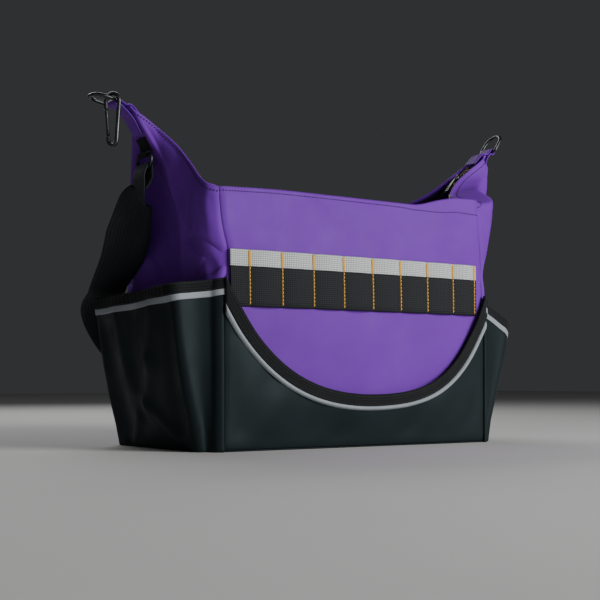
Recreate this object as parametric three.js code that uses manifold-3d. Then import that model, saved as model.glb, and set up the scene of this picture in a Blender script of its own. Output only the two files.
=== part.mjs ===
// Soft insulated lunch bag of purple and black PVC, standing open on its base.
// Millimetres, +Z up, +X to the right along the front, the front faces -Y.
import * as THREE from "three";
import { mergeVertices } from "three/addons/utils/BufferGeometryUtils.js";
import Module from "manifold-3d";

const wasm = await Module();
wasm.setup();

// Main sizes
const LENGTH = 450; // base, along the front
const DEPTH = 250; // base, front to back
const WALL = 3; // padded PVC wall
const BASE_THICK = 2.5; // bottom panel
const GAP = 0.3; // between neighbouring pieces
const BASE_CORNER = 10; // plan radius of the base's corners
const HALF_LENGTH = LENGTH / 2;
const HALF_DEPTH = DEPTH / 2;
const WALL_FOOT = BASE_THICK + GAP; // height where the walls start
const FRONT_HALF = HALF_LENGTH - BASE_CORNER; // half length of the front between its seams
const ARC_SHARE = 0.12; // share of an end that wraps the base's corner

// How the walls lean and swell
const TOP_HALF_DEPTH = 120; // half depth at the hem
const BELLY = 5; // swell of the front and back at half height
const FLARE_POWER = 4; // how late the ends flare into the ears
const PUFF = { size: 12, height: 0.8, spread: 0.17, share: 0.24, reach: 0.14 };
const LOBE = { size: 9, height: 0.66, spread: 0.22, share: 0.52, reach: 0.2 };
const CREASE = { size: 30, height: 0.68, spread: 0.2, share: 1, reach: 0.24 };
const CRUMPLE = { size: 6, height: 0.68, spread: 0.05, share: 0.13, reach: 0.07 };
// Fullness of the ears just below the mouth, where the cloth folds over towards the zip
// place: -1 at the front seam, 0 at the middle fold, 1 at the back seam; size: outward, lift: upward
const EAR_FOLDS = {
  left: [{ place: 0.45, reach: 0.2, height: 0.88, spread: 0.13, size: 20, lift: 0 }],
  right: [
    { place: -0.6, reach: 0.36, height: 0.93, spread: 0.16, size: 46, lift: 30 },
    { place: -0.3, reach: 0.22, height: 0.88, spread: 0.1, size: 30, lift: 0 },
    { place: 0, reach: 0.2, height: 0.88, spread: 0.1, size: 20, lift: 0 },
    { place: 0.3, reach: 0.22, height: 0.88, spread: 0.1, size: 30, lift: 0 },
    { place: 0.6, reach: 0.36, height: 0.93, spread: 0.16, size: 46, lift: 30 },
  ],
};
const EAR_TURN = 0.95; // level above which the fullness runs out to the rim
const SHELF = 0.5; // upward lean of the cloth past which its rim isn't cut level

// Upper edge of each end, from its front seam (share 0) to the ear's tip (share 1)
// out: beyond the base's end, half: distance from the middle plane, z: height
const MOUTH = {
  left: [
    { share: 0, out: -6, half: 120, z: 326 },
    { share: 0.12, out: 6, half: 109, z: 331 },
    { share: 0.3, out: 2, half: 72, z: 357 },
    { share: 0.46, out: 8, half: 45, z: 381 },
    { share: 0.62, out: 30, half: 18, z: 411 },
    { share: 0.93, out: 62, half: 14, z: 434 },
    { share: 1, out: 66, half: 0, z: 437 },
  ],
  right: [
    { share: 0, out: -16, half: 120, z: 345 },
    { share: 0.12, out: -13, half: 110, z: 346 },
    { share: 0.35, out: -10, half: 62, z: 357 },
    { share: 0.5, out: 12, half: 34, z: 372 },
    { share: 0.62, out: 46, half: 18, z: 398 },
    { share: 0.93, out: 102, half: 14, z: 436 },
    { share: 1, out: 106, half: 0, z: 439 },
  ],
};

// Height of the hem along the front and back, from the left seam to the right seam
const HEM = [
  { share: 0, z: 326 },
  { share: 0.25, z: 329 },
  { share: 0.72, z: 328.5 },
  { share: 0.84, z: 339 },
  { share: 0.91, z: 344 },
  { share: 1, z: 345 },
];

// Columns and rows of the wall panels
const END_SHARES = [0, 0.05, 0.1, 0.16, 0.27, 0.4, 0.52, 0.64, 0.78, 0.93, 1];
const WALL_LEVELS = [0, 0.16, 0.32, 0.46, 0.57, 0.66, 0.74, 0.81, 0.87, 0.91, 0.94, 0.97, 1];
const FRONT_COLUMNS = 10;

// Front pocket, its tape and piping
const POCKET = { halfWidth: 213.5, foot: 3.2, thick: 1.8, slack: 9, seamGap: 0.45, fullAt: 70 };
// The pocket's upper corners pass over the ends of the tool band, between these heights
const POCKET_OVER_BAND = { lift: 2.4, from: 140, to: 178 };
const BINDING = { width: 14, thick: 1.2, gap: 0.6 };
const PIPING = { width: 5.6, thick: 2.6 };
// Free edge of the scooped mouth: its lowest place, and what it climbs from there to each seam
// with the square and with the fourth power of the way
const SCOOP = { middle: 5, low: 68.5, left: { square: 67, fourth: 76 }, right: { square: 41, fourth: 94.5 } };

// Woven bands with tool loops
const BAND = { left: -206, right: 200, thick: 1.6, lift: 3, gap: 0.4 };
const TOOL_BAND = { low: 180.5, high: 229.8 };
const GREY_BAND = { low: 230.2, high: 250 };
const TACKS = { first: -179, pitch: 47.7, count: 8, last: 196 };
const STEPS_PER_LOOP = 4;

// Side pockets: how far they stand out at each height
const POCKET_REACH = {
  left: [
    { z: 0, out: 19 },
    { z: 30, out: 27 },
    { z: 82, out: 40 },
    { z: 143, out: 51 },
    { z: 220, out: 59 },
  ],
  right: [
    { z: 0, out: 18 },
    { z: 30, out: 26 },
    { z: 82, out: 41 },
    { z: 143, out: 57 },
    { z: 220, out: 64 },
  ],
};
// Rim height along the pocket, from its front seam (share 0) to its back seam (share 1)
const POCKET_RIM = {
  left: [
    { share: 0, z: 214 },
    { share: 0.24, z: 205 },
    { share: 0.76, z: 197 },
    { share: 1, z: 208 },
  ],
  right: [
    { share: 0, z: 208 },
    { share: 0.1, z: 194 },
    { share: 0.24, z: 171 },
    { share: 0.76, z: 178 },
    { share: 1, z: 204 },
  ],
};
const SIDE = { thick: 1.8, foot: 0.7, floor: 2, cornerHalf: 112, corner: 14, pleat: 5, seamGap: 1.2 };
const GATHER = { size: 1.6, waves: 4, height: 55 };
const SIDE_HEM = { height: 13, thick: 1.2 };
const REFLECTOR = { height: 7, thick: 1 };

// Zip along the mouth
const ZIP = { drop: 3.5, inset: 1, width: 13, thick: 1.1, sag: 0.35, endShare: 0.8 };
const TEETH = { size: 2.4, gap: 0.3 };
// The tapes turn the mouth's corners in a wide curve
const ZIP_CORNER = { reach: 0.035, inset: 2, skip: [0.05, 0.1, 0.16] };
// Shares of an end where the two tapes come together
const ZIP_CLOSE = { from: 0.44, to: 0.62, slack: 2 };
// The tapes keep clear of the narrow neck's wall
const ZIP_NECK = { inset: 3, share: 0.59, reach: 0.09 };
const SLIDER = { length: 15, width: 10.5, thick: 2.6, clear: 0.45 };
const SLIDER_BRIDGE = { length: 7, width: 3, height: 4, sunk: 0.2 };
// over: how far the pull's pivot lies in from the slider's edge, clear: above the slider
const PULL = { length: 28, width: 9, thick: 2.2, drop: 51, over: 0.2, clear: 0.55 };

// Ear tabs, D-rings and the hook
// below: levels where the tab lies on the fold under the tip
// wrapFrom, wrapTo: angles round the ring's bar
const TAB = {
  width: 22.5,
  thick: 1.6,
  start: 0.77,
  tipRun: 8,
  below: [0.97, 0.94, 0.925],
  clear: 0.9,
  seat: 0.75,
  ease: 0.6,
  wrapFrom: 100,
  wrapTo: -130,
};
const RING = { wire: 5, half: 15.5, leg: 17, corner: 4, steps: 26 };
const WIRE_SIDES = 8; // facets round the rings
const WRAP_STEPS = 7; // facets of a tab round its bar
const RING_PLACE = {
  left: { out: 77, z: 440.5, tilt: 10 },
  right: { out: 117, z: 446, tilt: 56 },
};
const HOOK = {
  wire: 5,
  alongLeg: 10,
  turn: -60,
  topRadius: 10,
  footRadius: 6,
  footDepth: 53,
  nose: 14,
  hinge: 48,
  seat: 0.8,
  gateGap: 0.8,
  gateWire: 4.2,
  steps: 34,
};

// Shoulder strap and what holds it at each end
const STRAP = { neck: 30, thick: 2.2 };
const STRAP_LOOP = { clear: 0.5, fold: 30, bulge: 8, stepsPerRow: 2 };
// level: of the ring's upper bar, low: of its lower bar
const STRAP_RING = { wire: 4, halfWidth: 19, height: 16, out: 5.2, level: 0.872, low: 0.835, steps: 24 };
const STRAP_TAB = {
  width: 24,
  thick: 1.4,
  from: [0.915, 0.901],
  clear: 0.5,
  seat: 0.9,
  wrapFrom: 120,
  wrapTo: -90,
};
// Left half of the strap, from its ring round the back corner to the middle of the back
// out: beyond the base's end, y, z: its middle line, half: half its width
// carry: share of the ring's extra reach on the right end
// faceOut, faceBack, faceUp: direction its face looks
const STRAP_ROUTE = [
  { out: 40, y: 14, z: 320, half: 21, carry: 1, faceOut: 0.5, faceBack: -0.7, faceUp: -0.2 },
  { out: 42, y: 30, z: 279, half: 28, carry: 0.85, faceOut: 0.42, faceBack: -0.71, faceUp: -0.39 },
  { out: 40, y: 52, z: 250, half: 28, carry: 0.6, faceOut: 0.21, faceBack: -0.65, faceUp: -0.73 },
  { out: 34, y: 109, z: 213, half: 28, carry: 0.2, faceOut: -0.1, faceBack: -0.5, faceUp: -0.7 },
  { out: 26, y: 147, z: 186, half: 28, carry: 0.07, faceOut: 0.1, faceBack: -0.8, faceUp: -0.6 },
  { out: -6, y: 152, z: 138, half: 28, carry: 0, faceOut: 0.1, faceBack: -1, faceUp: -0.1 },
  { out: -75, y: 140, z: 84, half: 28, carry: 0, faceOut: 0, faceBack: -1, faceUp: 0 },
  { out: -225, y: 131, z: 50, half: 28, carry: 0, faceOut: 0, faceBack: -1, faceUp: 0 },
];

const COLOURS = {
  purple: { color: 0x6d42a6, roughness: 0.55, metalness: 0 },
  black: { color: 0x15181a, roughness: 0.5, metalness: 0 },
  weave: { color: 0x1b1d1f, roughness: 0.85, metalness: 0 },
  grey: { color: 0xb9bec2, roughness: 0.6, metalness: 0 },
  metal: { color: 0x6f7478, roughness: 0.3, metalness: 1 },
  brass: { color: 0xa88a55, roughness: 0.4, metalness: 0.8 },
};

const { lerp, clamp, degToRad } = THREE.MathUtils;
const vec = (x, y, z) => new THREE.Vector3(x, y, z);
const bell = (value, middle, spread) => Math.exp(-(((value - middle) / spread) ** 2));
const range = (count) => Array.from({ length: count }, (_, i) => i);

function ease(from, to, value) {
  const t = clamp((value - from) / (to - from), 0, 1);
  return t * t * (3 - 2 * t);
}

// Slope of a smooth curve at one row, zero where the rows turn, so it never overshoots
function rowSlope(before, after, stepBefore, stepAfter) {
  if (before * after <= 0) return 0;
  const a = 2 * stepAfter + stepBefore;
  const b = stepAfter + 2 * stepBefore;
  return (a + b) / (a / before + b / after);
}

// Smooth function through one column of a table
function column(rows, at, key) {
  const x = rows.map((row) => row[at]);
  const y = rows.map((row) => row[key]);
  const step = x.slice(1).map((value, i) => value - x[i]);
  const rise = step.map((width, i) => (y[i + 1] - y[i]) / width);
  const last = x.length - 1;
  const slope = x.map((_, i) => {
    if (i === 0) return rise[0];
    if (i === last) return rise[last - 1];
    return rowSlope(rise[i - 1], rise[i], step[i - 1], step[i]);
  });
  return (value) => {
    const v = clamp(value, x[0], x[last]);
    const i = clamp(x.findIndex((edge) => edge > v) - 1, 0, last - 1);
    const k = v >= x[last] ? last - 1 : i;
    const t = (v - x[k]) / step[k];
    const a = y[k] * (1 + 2 * t) * (1 - t) ** 2 + slope[k] * step[k] * t * (1 - t) ** 2;
    const b = y[k + 1] * t * t * (3 - 2 * t) + slope[k + 1] * step[k] * t * t * (t - 1);
    return a + b;
  };
}

const mouthOf = (rows) => ({
  out: column(rows, "share", "out"),
  half: column(rows, "share", "half"),
  z: column(rows, "share", "z"),
});
const ENDS = {
  left: { sign: -1, mouth: mouthOf(MOUTH.left) },
  right: { sign: 1, mouth: mouthOf(MOUTH.right) },
};
const hemHeight = column(HEM, "share", "z");

// Swelling or dent of an end wall
const dent = (form, share, level) =>
  form.size * bell(level, form.height, form.spread) * bell(share, form.share, form.reach);

// A point of an end wall's outside
// share runs from the seam to the fold, half is -1 at the front and 1 at the back
function endPoint(side, half, share, level) {
  const { sign, mouth } = ENDS[side];
  const straight = HALF_DEPTH - BASE_CORNER;
  const angle = (Math.PI / 2) * Math.min(share / ARC_SHARE, 1);
  const along = clamp((share - ARC_SHARE) / (1 - ARC_SHARE), 0, 1);
  const footOut = BASE_CORNER * (Math.sin(angle) - 1);
  const footHalf = share < ARC_SHARE ? straight + BASE_CORNER * Math.cos(angle) : straight * (1 - along);
  const mix = level ** FLARE_POWER;
  const free = ease(0, ARC_SHARE, share);
  const folds =
    free * (dent(PUFF, share, level) - dent(CRUMPLE, share, level)) +
    dent(LOBE, share, level) -
    dent(CREASE, share, level);
  const out = lerp(footOut, mouth.out(share), mix) + folds;
  const depth = lerp(footHalf, mouth.half(share), mix);
  const point = vec(out, half * depth, lerp(WALL_FOOT, mouth.z(share), level));
  for (const ear of EAR_FOLDS[side]) {
    const across = bell(half * (1 - share), ear.place, ear.reach);
    const full = free * across * bell(level, ear.height, ear.spread) * (1 - ease(EAR_TURN, 1, level));
    point.x += ear.size * full;
    point.z += ear.lift * full;
  }
  return point.setX(sign * (HALF_LENGTH + point.x));
}

// A point of the front wall (half -1) or back wall (half 1); share runs from left to right
function facePoint(half, share, level) {
  const left = endPoint("left", half, 0, level);
  const right = endPoint("right", half, 0, level);
  const swell = BELLY * Math.sin(Math.PI * level) * (1 - (2 * share - 1) ** 2);
  const depth = lerp(HALF_DEPTH, TOP_HALF_DEPTH, level ** FLARE_POWER) + swell;
  return vec(lerp(left.x, right.x, share), half * depth, lerp(WALL_FOOT, hemHeight(share), level));
}

// The whole outside; turn runs once round the bag
// 0 to 1 front, 1 to 2 right end, 2 to 3 back, 3 to 4 left end
function shellPoint(turn, level) {
  const t = ((turn % 4) + 4) % 4;
  if (t <= 1) return facePoint(-1, t, level);
  if (t <= 2) {
    const across = 2 * (t - 1) - 1;
    return endPoint("right", Math.sign(across) || 1, 1 - Math.abs(across), level);
  }
  if (t <= 3) return facePoint(1, 3 - t, level);
  const across = 1 - 2 * (t - 3);
  return endPoint("left", Math.sign(across) || 1, 1 - Math.abs(across), level);
}

function shellNormal(turn, level) {
  const d = 0.012;
  const round = shellPoint(turn + d, level).sub(shellPoint(turn - d, level));
  const up = shellPoint(turn, Math.min(level + d, 1)).sub(shellPoint(turn, Math.max(level - d, 0)));
  return round.cross(up).normalize();
}

// Distance of the front wall's outside from the middle plane, at a place on the front
function frontDepth(x, z) {
  const share = clamp((x + FRONT_HALF) / (2 * FRONT_HALF), 0, 1);
  const level = clamp((z - WALL_FOOT) / (hemHeight(share) - WALL_FOOT), 0, 1);
  return -facePoint(-1, share, level).y;
}

// Closed solid between two grids of points: each section holds an outer and an inner row
function stripSolid(sections, closed = false) {
  const across = sections[0].outer.length;
  const positions = [];
  for (const { outer, inner } of sections) {
    for (const p of [...outer, ...inner]) positions.push(p.x, p.y, p.z);
  }
  const faces = [];
  const quad = (a, b, c, d) => faces.push(a, b, c, a, c, d);
  const outerAt = (i, j) => (i % sections.length) * 2 * across + j;
  const innerAt = (i, j) => outerAt(i, j) + across;
  const spans = closed ? sections.length : sections.length - 1;
  for (const i of range(spans)) {
    for (const j of range(across - 1)) {
      quad(outerAt(i, j), outerAt(i + 1, j), outerAt(i + 1, j + 1), outerAt(i, j + 1));
      quad(innerAt(i, j), innerAt(i, j + 1), innerAt(i + 1, j + 1), innerAt(i + 1, j));
    }
    quad(outerAt(i, 0), innerAt(i, 0), innerAt(i + 1, 0), outerAt(i + 1, 0));
    const top = across - 1;
    quad(outerAt(i, top), outerAt(i + 1, top), innerAt(i + 1, top), innerAt(i, top));
  }
  if (!closed) {
    const end = sections.length - 1;
    for (const j of range(across - 1)) {
      quad(outerAt(0, j), outerAt(0, j + 1), innerAt(0, j + 1), innerAt(0, j));
      quad(outerAt(end, j), innerAt(end, j), innerAt(end, j + 1), outerAt(end, j + 1));
    }
  }
  const geometry = new THREE.BufferGeometry();
  geometry.setAttribute("position", new THREE.Float32BufferAttribute(positions, 3));
  geometry.setIndex(faces);
  return faceOut(geometry);
}

function signedVolume(geometry) {
  const p = geometry.getAttribute("position");
  const corner = (k) => new THREE.Vector3().fromBufferAttribute(p, geometry.index.getX(k));
  let sum = 0;
  for (let k = 0; k < geometry.index.count; k += 3) {
    sum += corner(k).dot(corner(k + 1).cross(corner(k + 2))) / 6;
  }
  return sum;
}

function faceOut(geometry) {
  if (signedVolume(geometry) < 0) {
    const index = geometry.index.array;
    for (let k = 0; k < index.length; k += 3) [index[k + 1], index[k + 2]] = [index[k + 2], index[k + 1]];
  }
  geometry.computeVertexNormals();
  return geometry;
}

// Flat strip along stations, each with a centre, a half width, a width direction and a face direction
function ribbon(stations, thick) {
  return stripSolid(
    stations.map(({ centre, half, wide, face }) => {
      const edge = (side, lift) =>
        centre.clone().addScaledVector(wide, side * half).addScaledVector(face, lift * thick * 0.5);
      return { outer: [edge(-1, 1), edge(1, 1)], inner: [edge(-1, -1), edge(1, -1)] };
    }),
  );
}

function solidOf(geometry) {
  const bare = geometry.clone();
  bare.deleteAttribute("normal");
  bare.deleteAttribute("uv");
  const merged = mergeVertices(bare, 1e-3);
  const vertProperties = merged.attributes.position.array;
  const triVerts = new Uint32Array(merged.index.array);
  return new wasm.Manifold(new wasm.Mesh({ numProp: 3, vertProperties, triVerts }));
}

function geometryOf(solid) {
  const mesh = solid.getMesh();
  const geometry = new THREE.BufferGeometry();
  geometry.setAttribute("position", new THREE.BufferAttribute(mesh.vertProperties, 3));
  geometry.setIndex(new THREE.BufferAttribute(mesh.triVerts, 1));
  geometry.computeVertexNormals();
  return geometry;
}

const joined = (...parts) => geometryOf(parts.map(solidOf).reduce((a, b) => a.add(b)));

const bag = new THREE.Group();
function addPiece(name, geometry, colour) {
  const mesh = new THREE.Mesh(geometry, new THREE.MeshStandardMaterial(COLOURS[colour]));
  mesh.name = name;
  bag.add(mesh);
}

// Walls and base
function wallPanel(turns, levels) {
  return stripSolid(
    turns.map((turn) => {
      const outer = levels.map((level) => shellPoint(turn, level));
      const inner = levels.map((level, j) => {
        const normal = shellNormal(turn, level);
        const p = outer[j].clone().addScaledVector(normal, -WALL);
        const flatTop = level === 1 && normal.z < SHELF;
        if (level === 0 || flatTop) p.z = outer[j].z;
        return p;
      });
      return { outer, inner };
    }),
  );
}

// Places round an end, kept clear of its two seams
function endTurns(start) {
  const inset = 0.0012;
  const half = END_SHARES.map((share) => Math.max(share / 2, inset));
  const backHalf = half.slice(0, -1).reverse();
  return [...half.map((s) => start + s), ...backHalf.map((s) => start + 1 - s)];
}

function faceTurns(start) {
  const inset = 0.0006;
  return range(FRONT_COLUMNS + 1).map((i) => start + clamp(i / FRONT_COLUMNS, inset, 1 - inset));
}

addPiece("front_panel", wallPanel(faceTurns(0), WALL_LEVELS), "purple");
addPiece("end_panel_right", wallPanel(endTurns(1), WALL_LEVELS), "purple");
addPiece("back_panel", wallPanel(faceTurns(2), WALL_LEVELS), "purple");
addPiece("end_panel_left", wallPanel(endTurns(3), WALL_LEVELS), "purple");

function basePanel() {
  const shape = new THREE.Shape();
  const x = HALF_LENGTH - BASE_CORNER;
  const y = HALF_DEPTH - BASE_CORNER;
  shape.absarc(x, y, BASE_CORNER, 0, Math.PI / 2);
  shape.absarc(-x, y, BASE_CORNER, Math.PI / 2, Math.PI);
  shape.absarc(-x, -y, BASE_CORNER, Math.PI, 1.5 * Math.PI);
  shape.absarc(x, -y, BASE_CORNER, 1.5 * Math.PI, 2 * Math.PI);
  return new THREE.ExtrudeGeometry(shape, { depth: BASE_THICK, bevelEnabled: false, curveSegments: 4 });
}
addPiece("base_panel", basePanel(), "black");

// Front pocket, its binding and piping
function scoopHeight(x) {
  const isLeft = x < SCOOP.middle;
  const reach = isLeft ? POCKET.halfWidth + SCOOP.middle : POCKET.halfWidth - SCOOP.middle;
  const climb = isLeft ? SCOOP.left : SCOOP.right;
  const share = (x - SCOOP.middle) / reach;
  return SCOOP.low + climb.square * share ** 2 + climb.fourth * share ** 4;
}
function pocketGap(x, z) {
  const across = 1 - (x / POCKET.halfWidth) ** 2;
  const over = POCKET_OVER_BAND.lift * ease(POCKET_OVER_BAND.from, POCKET_OVER_BAND.to, z);
  return POCKET.seamGap + over + POCKET.slack * Math.max(across, 0) * ease(0, POCKET.fullAt, z);
}
const pocketFace = (x, z) => frontDepth(x, z) + pocketGap(x, z) + POCKET.thick;

// Height on the front that lies a given distance below the scoop's edge, square to it
function belowScoop(x, distance) {
  const d = 2;
  const slope = (scoopHeight(x + d) - scoopHeight(x - d)) / (2 * d);
  return scoopHeight(x) - distance * Math.sqrt(1 + slope * slope);
}

function pocketColumns(count) {
  return range(count + 1).map((i) => lerp(-POCKET.halfWidth, POCKET.halfWidth, i / count));
}

// A sheet lying on the front: heights per column, and how far its back and face stand from the middle plane
function frontSheet(columns, heights, back, face) {
  return stripSolid(
    columns.map((x) => {
      const zs = heights(x);
      return {
        outer: zs.map((z) => vec(x, -face(x, z), z)),
        inner: zs.map((z) => vec(x, -back(x, z), z)),
      };
    }),
  );
}

const POCKET_ROWS = [0, 0.3, 0.6, 0.73, 0.86, 1];
const pocketHeights = (x) => POCKET_ROWS.map((t) => lerp(POCKET.foot, scoopHeight(x), t));
const pocketBack = (x, z) => frontDepth(x, z) + pocketGap(x, z);
addPiece("front_pocket", frontSheet(pocketColumns(22), pocketHeights, pocketBack, pocketFace), "black");

const onPocket = (lift) => (x, z) => pocketFace(x, z) + lift;
addPiece(
  "front_binding",
  frontSheet(
    pocketColumns(26),
    (x) => [belowScoop(x, BINDING.width), scoopHeight(x)],
    onPocket(BINDING.gap),
    onPocket(BINDING.gap + BINDING.thick),
  ),
  "weave",
);
const pipingTop = BINDING.width + GAP;
addPiece(
  "front_piping",
  frontSheet(
    pocketColumns(26),
    (x) => [belowScoop(x, pipingTop + PIPING.width), belowScoop(x, pipingTop)],
    onPocket(BINDING.gap),
    onPocket(BINDING.gap + PIPING.thick),
  ),
  "grey",
);

// Woven bands: tacked flat at each bar tack, lifted between them
const tackPlaces = [...range(TACKS.count).map((i) => TACKS.first + i * TACKS.pitch), TACKS.last];
function bandColumns() {
  const stops = [BAND.left, ...tackPlaces, BAND.right];
  const inside = stops.slice(0, -1).flatMap((from, k) => {
    const steps = k === 0 || k === stops.length - 2 ? 1 : STEPS_PER_LOOP;
    return range(steps).map((i) => lerp(from, stops[k + 1], i / steps));
  });
  return [...inside, BAND.right];
}
function bandLift(x) {
  const k = tackPlaces.findIndex((place) => place > x);
  if (k <= 0) return 0;
  const t = (x - tackPlaces[k - 1]) / (tackPlaces[k] - tackPlaces[k - 1]);
  return BAND.lift * Math.sin(Math.PI * t) ** 0.7;
}
const bandBack = (x, z) => frontDepth(x, z) + BAND.gap + bandLift(x);
const bandFace = (x, z) => bandBack(x, z) + BAND.thick;
for (const [name, band, colour] of [
  ["tool_webbing", TOOL_BAND, "weave"],
  ["reflective_webbing", GREY_BAND, "grey"],
]) {
  addPiece(name, frontSheet(bandColumns(), () => [band.low, band.high], bandBack, bandFace), colour);
}

// Side pockets
const WRAP_SHARES = [0.016, 0.06, 0.1];
const FACE_STEPS = 12;
const CORNER_STEPS = 3;

// Plan of a pocket at one height, from its front seam to its back seam: out beyond the base's end, and y
function pocketPlan(side, reach, level) {
  const wrap = WRAP_SHARES.map((share) => {
    const p = endPoint(side, -1, share, level);
    const turn = side === "right" ? 1 + share / 2 : 4 - share / 2;
    const n = shellNormal(turn, level);
    p.addScaledVector(n, SIDE.seamGap + SIDE.thick);
    return { out: Math.abs(p.x) - HALF_LENGTH, y: p.y };
  });
  const seam = wrap[wrap.length - 1];
  const bend = Math.min(SIDE.corner, 0.6 * (reach - seam.out));
  const turnOut = reach - bend;
  const pleatAt = (t) => ({
    out: lerp(seam.out, turnOut, t),
    y: lerp(seam.y, -SIDE.cornerHalf, t) + SIDE.pleat * Math.sin(Math.PI * t),
  });
  const gusset = [pleatAt(0.35), pleatAt(0.7)];
  const corner = range(CORNER_STEPS + 1).map((i) => {
    const a = ((Math.PI / 2) * i) / CORNER_STEPS;
    return { out: turnOut + bend * Math.sin(a), y: -SIDE.cornerHalf + bend * (1 - Math.cos(a)) };
  });
  const front = [...wrap, ...gusset, ...corner];
  const back = [...front].reverse().map(({ out, y }) => ({ out, y: -y }));
  const start = front[front.length - 1].y;
  const face = range(FACE_STEPS - 1).map((i) => {
    return { out: reach, y: lerp(start, -start, (i + 1) / FACE_STEPS) };
  });
  return [...front, ...face, ...back];
}
const PLAN_COUNT = 2 * (WRAP_SHARES.length + 2 + CORNER_STEPS + 1) + FACE_STEPS - 1;

// Outside of a pocket as a function of a column number and a height
function pocketSurface(side) {
  const { sign } = ENDS[side];
  const reachAt = column(POCKET_REACH[side], "z", "out");
  const rimAt = column(POCKET_RIM[side], "share", "z");
  const rim = (k) => rimAt(k / (PLAN_COUNT - 1));
  const point = (k, z) => {
    const level = clamp((z - WALL_FOOT) / (MOUTH[side][0].z - WALL_FOOT), 0, 1);
    const { out, y } = pocketPlan(side, reachAt(z), level)[k];
    const share = k / (PLAN_COUNT - 1);
    const onFace = ease(0.2, 0.3, share) * ease(0.8, 0.7, share);
    const gather =
      GATHER.size * Math.sin(2 * Math.PI * GATHER.waves * share) * ease(rim(k) - GATHER.height, rim(k), z);
    return vec(sign * (HALF_LENGTH + out + gather * onFace), y, z);
  };
  const normal = (k, z) => {
    const a = Math.max(k - 1, 0);
    const b = Math.min(k + 1, PLAN_COUNT - 1);
    const along = point(b, z).sub(point(a, z));
    const up = point(k, z + 1).sub(point(k, z - 1));
    return along.cross(up).multiplyScalar(sign).normalize();
  };
  return { rim, point, normal };
}

// A sheet that follows a pocket, between two heights and two distances from the pocket's outside
function pocketSheet(surface, heights, near, far) {
  return stripSolid(
    range(PLAN_COUNT).map((k) => {
      const zs = heights(surface.rim(k));
      const at = (z, lift) => surface.point(k, z).addScaledVector(surface.normal(k, z), lift);
      const lifted = (lift) => zs.map((z) => at(z, lift));
      return { outer: lifted(far), inner: lifted(near) };
    }),
  );
}

function pocketFloor(side, surface) {
  const { sign } = ENDS[side];
  const outline = range(PLAN_COUNT)
    .slice(WRAP_SHARES.length, -WRAP_SHARES.length)
    .map((k) => surface.point(k, SIDE.foot).addScaledVector(surface.normal(k, SIDE.foot), -SIDE.thick / 2));
  const wallX = sign * (HALF_LENGTH + SIDE.seamGap);
  const first = outline[0];
  const last = outline[outline.length - 1];
  const points = [vec(wallX, first.y, 0), ...outline, vec(wallX, last.y, 0)];
  const shape = new THREE.Shape(points.map((p) => new THREE.Vector2(p.x, p.y)));
  const floor = new THREE.ExtrudeGeometry(shape, { depth: SIDE.floor, bevelEnabled: false });
  return floor.translate(0, 0, SIDE.foot);
}

const SIDE_ROWS = [0, 0.2, 0.45, 0.72, 1];
for (const side of ["left", "right"]) {
  const surface = pocketSurface(side);
  const wall = pocketSheet(surface, (rim) => SIDE_ROWS.map((t) => lerp(SIDE.foot, rim, t)), -SIDE.thick, 0);
  addPiece(`side_pocket_${side}`, joined(wall, pocketFloor(side, surface)), "black");
  const hemFoot = (rim) => rim - SIDE_HEM.height;
  const hem = pocketSheet(surface, (rim) => [hemFoot(rim), rim], GAP, GAP + SIDE_HEM.thick);
  addPiece(`pocket_hem_${side}`, hem, "weave");
  const stripTop = (rim) => hemFoot(rim) - GAP;
  const stripHeights = (rim) => [stripTop(rim) - REFLECTOR.height, stripTop(rim)];
  const strip = pocketSheet(surface, stripHeights, GAP, GAP + REFLECTOR.thick);
  addPiece(`pocket_reflector_${side}`, strip, "grey");
}

// Zip: a place on a tape, its free edge and its directions
function tapePlace(half, turn) {
  const t = ((turn % 4) + 4) % 4;
  const onEnd = t > 3 || (t > 1 && t < 2);
  const share = onEnd ? 1 - Math.abs(2 * (t % 1) - 1) : 0;
  const level = 1 - ZIP.drop / hemHeight(0.5);
  const normal = shellNormal(t, level);
  const atCorner = bell(t - Math.round(t), 0, ZIP_CORNER.reach);
  const atNeck = bell(share, ZIP_NECK.share, ZIP_NECK.reach);
  const inset = ZIP.inset + ZIP_CORNER.inset * atCorner + ZIP_NECK.inset * atNeck;
  const edge = shellPoint(t, level).addScaledVector(normal, -(WALL + inset));
  const shut = onEnd ? ease(ZIP_CLOSE.from, ZIP_CLOSE.to, share) : 0;
  const outward = [-2, -1, 0, 1, 2]
    .map((step) => shellNormal(t + step * ZIP_CORNER.reach, level))
    .reduce((sum, n) => sum.add(n))
    .setZ(0)
    .normalize();
  const openWay = vec(-outward.x, -outward.y, -ZIP.sag).normalize();
  const across = vec(0, -half, 0);
  const way = openWay.lerp(across, shut).normalize();
  const reach = Math.abs(edge.y) - TEETH.size - TEETH.gap;
  const shutWidth = Math.min(reach, ZIP.width + ZIP_CLOSE.slack);
  return { edge, way, width: lerp(ZIP.width, shutWidth, shut) };
}

const ZIP_FACE_SPANS = 9;
function zipStations(half) {
  const tip = ZIP.endShare / 2;
  const shares = END_SHARES.filter((share) => share < ZIP.endShare && !ZIP_CORNER.skip.includes(share));
  const endPart = [...shares.map((share) => share / 2), tip];
  const face = range(ZIP_FACE_SPANS - 1).map((i) => (i + 1) / ZIP_FACE_SPANS);
  const start = half < 0 ? 0 : 2;
  const before = [...endPart].reverse().map((s) => start - s);
  return [...before, ...face.map((s) => start + s), ...endPart.map((s) => start + 1 + s)];
}

function zipRun(half) {
  const places = zipStations(half).map((turn) => tapePlace(half, turn));
  return places.map((place, i) => {
    const before = places[Math.max(i - 1, 0)].edge;
    const after = places[Math.min(i + 1, places.length - 1)].edge;
    const along = after.clone().sub(before).normalize();
    const face = place.way.clone().cross(along).normalize();
    return { ...place, face: face.z < 0 ? face.negate() : face };
  });
}

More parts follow.
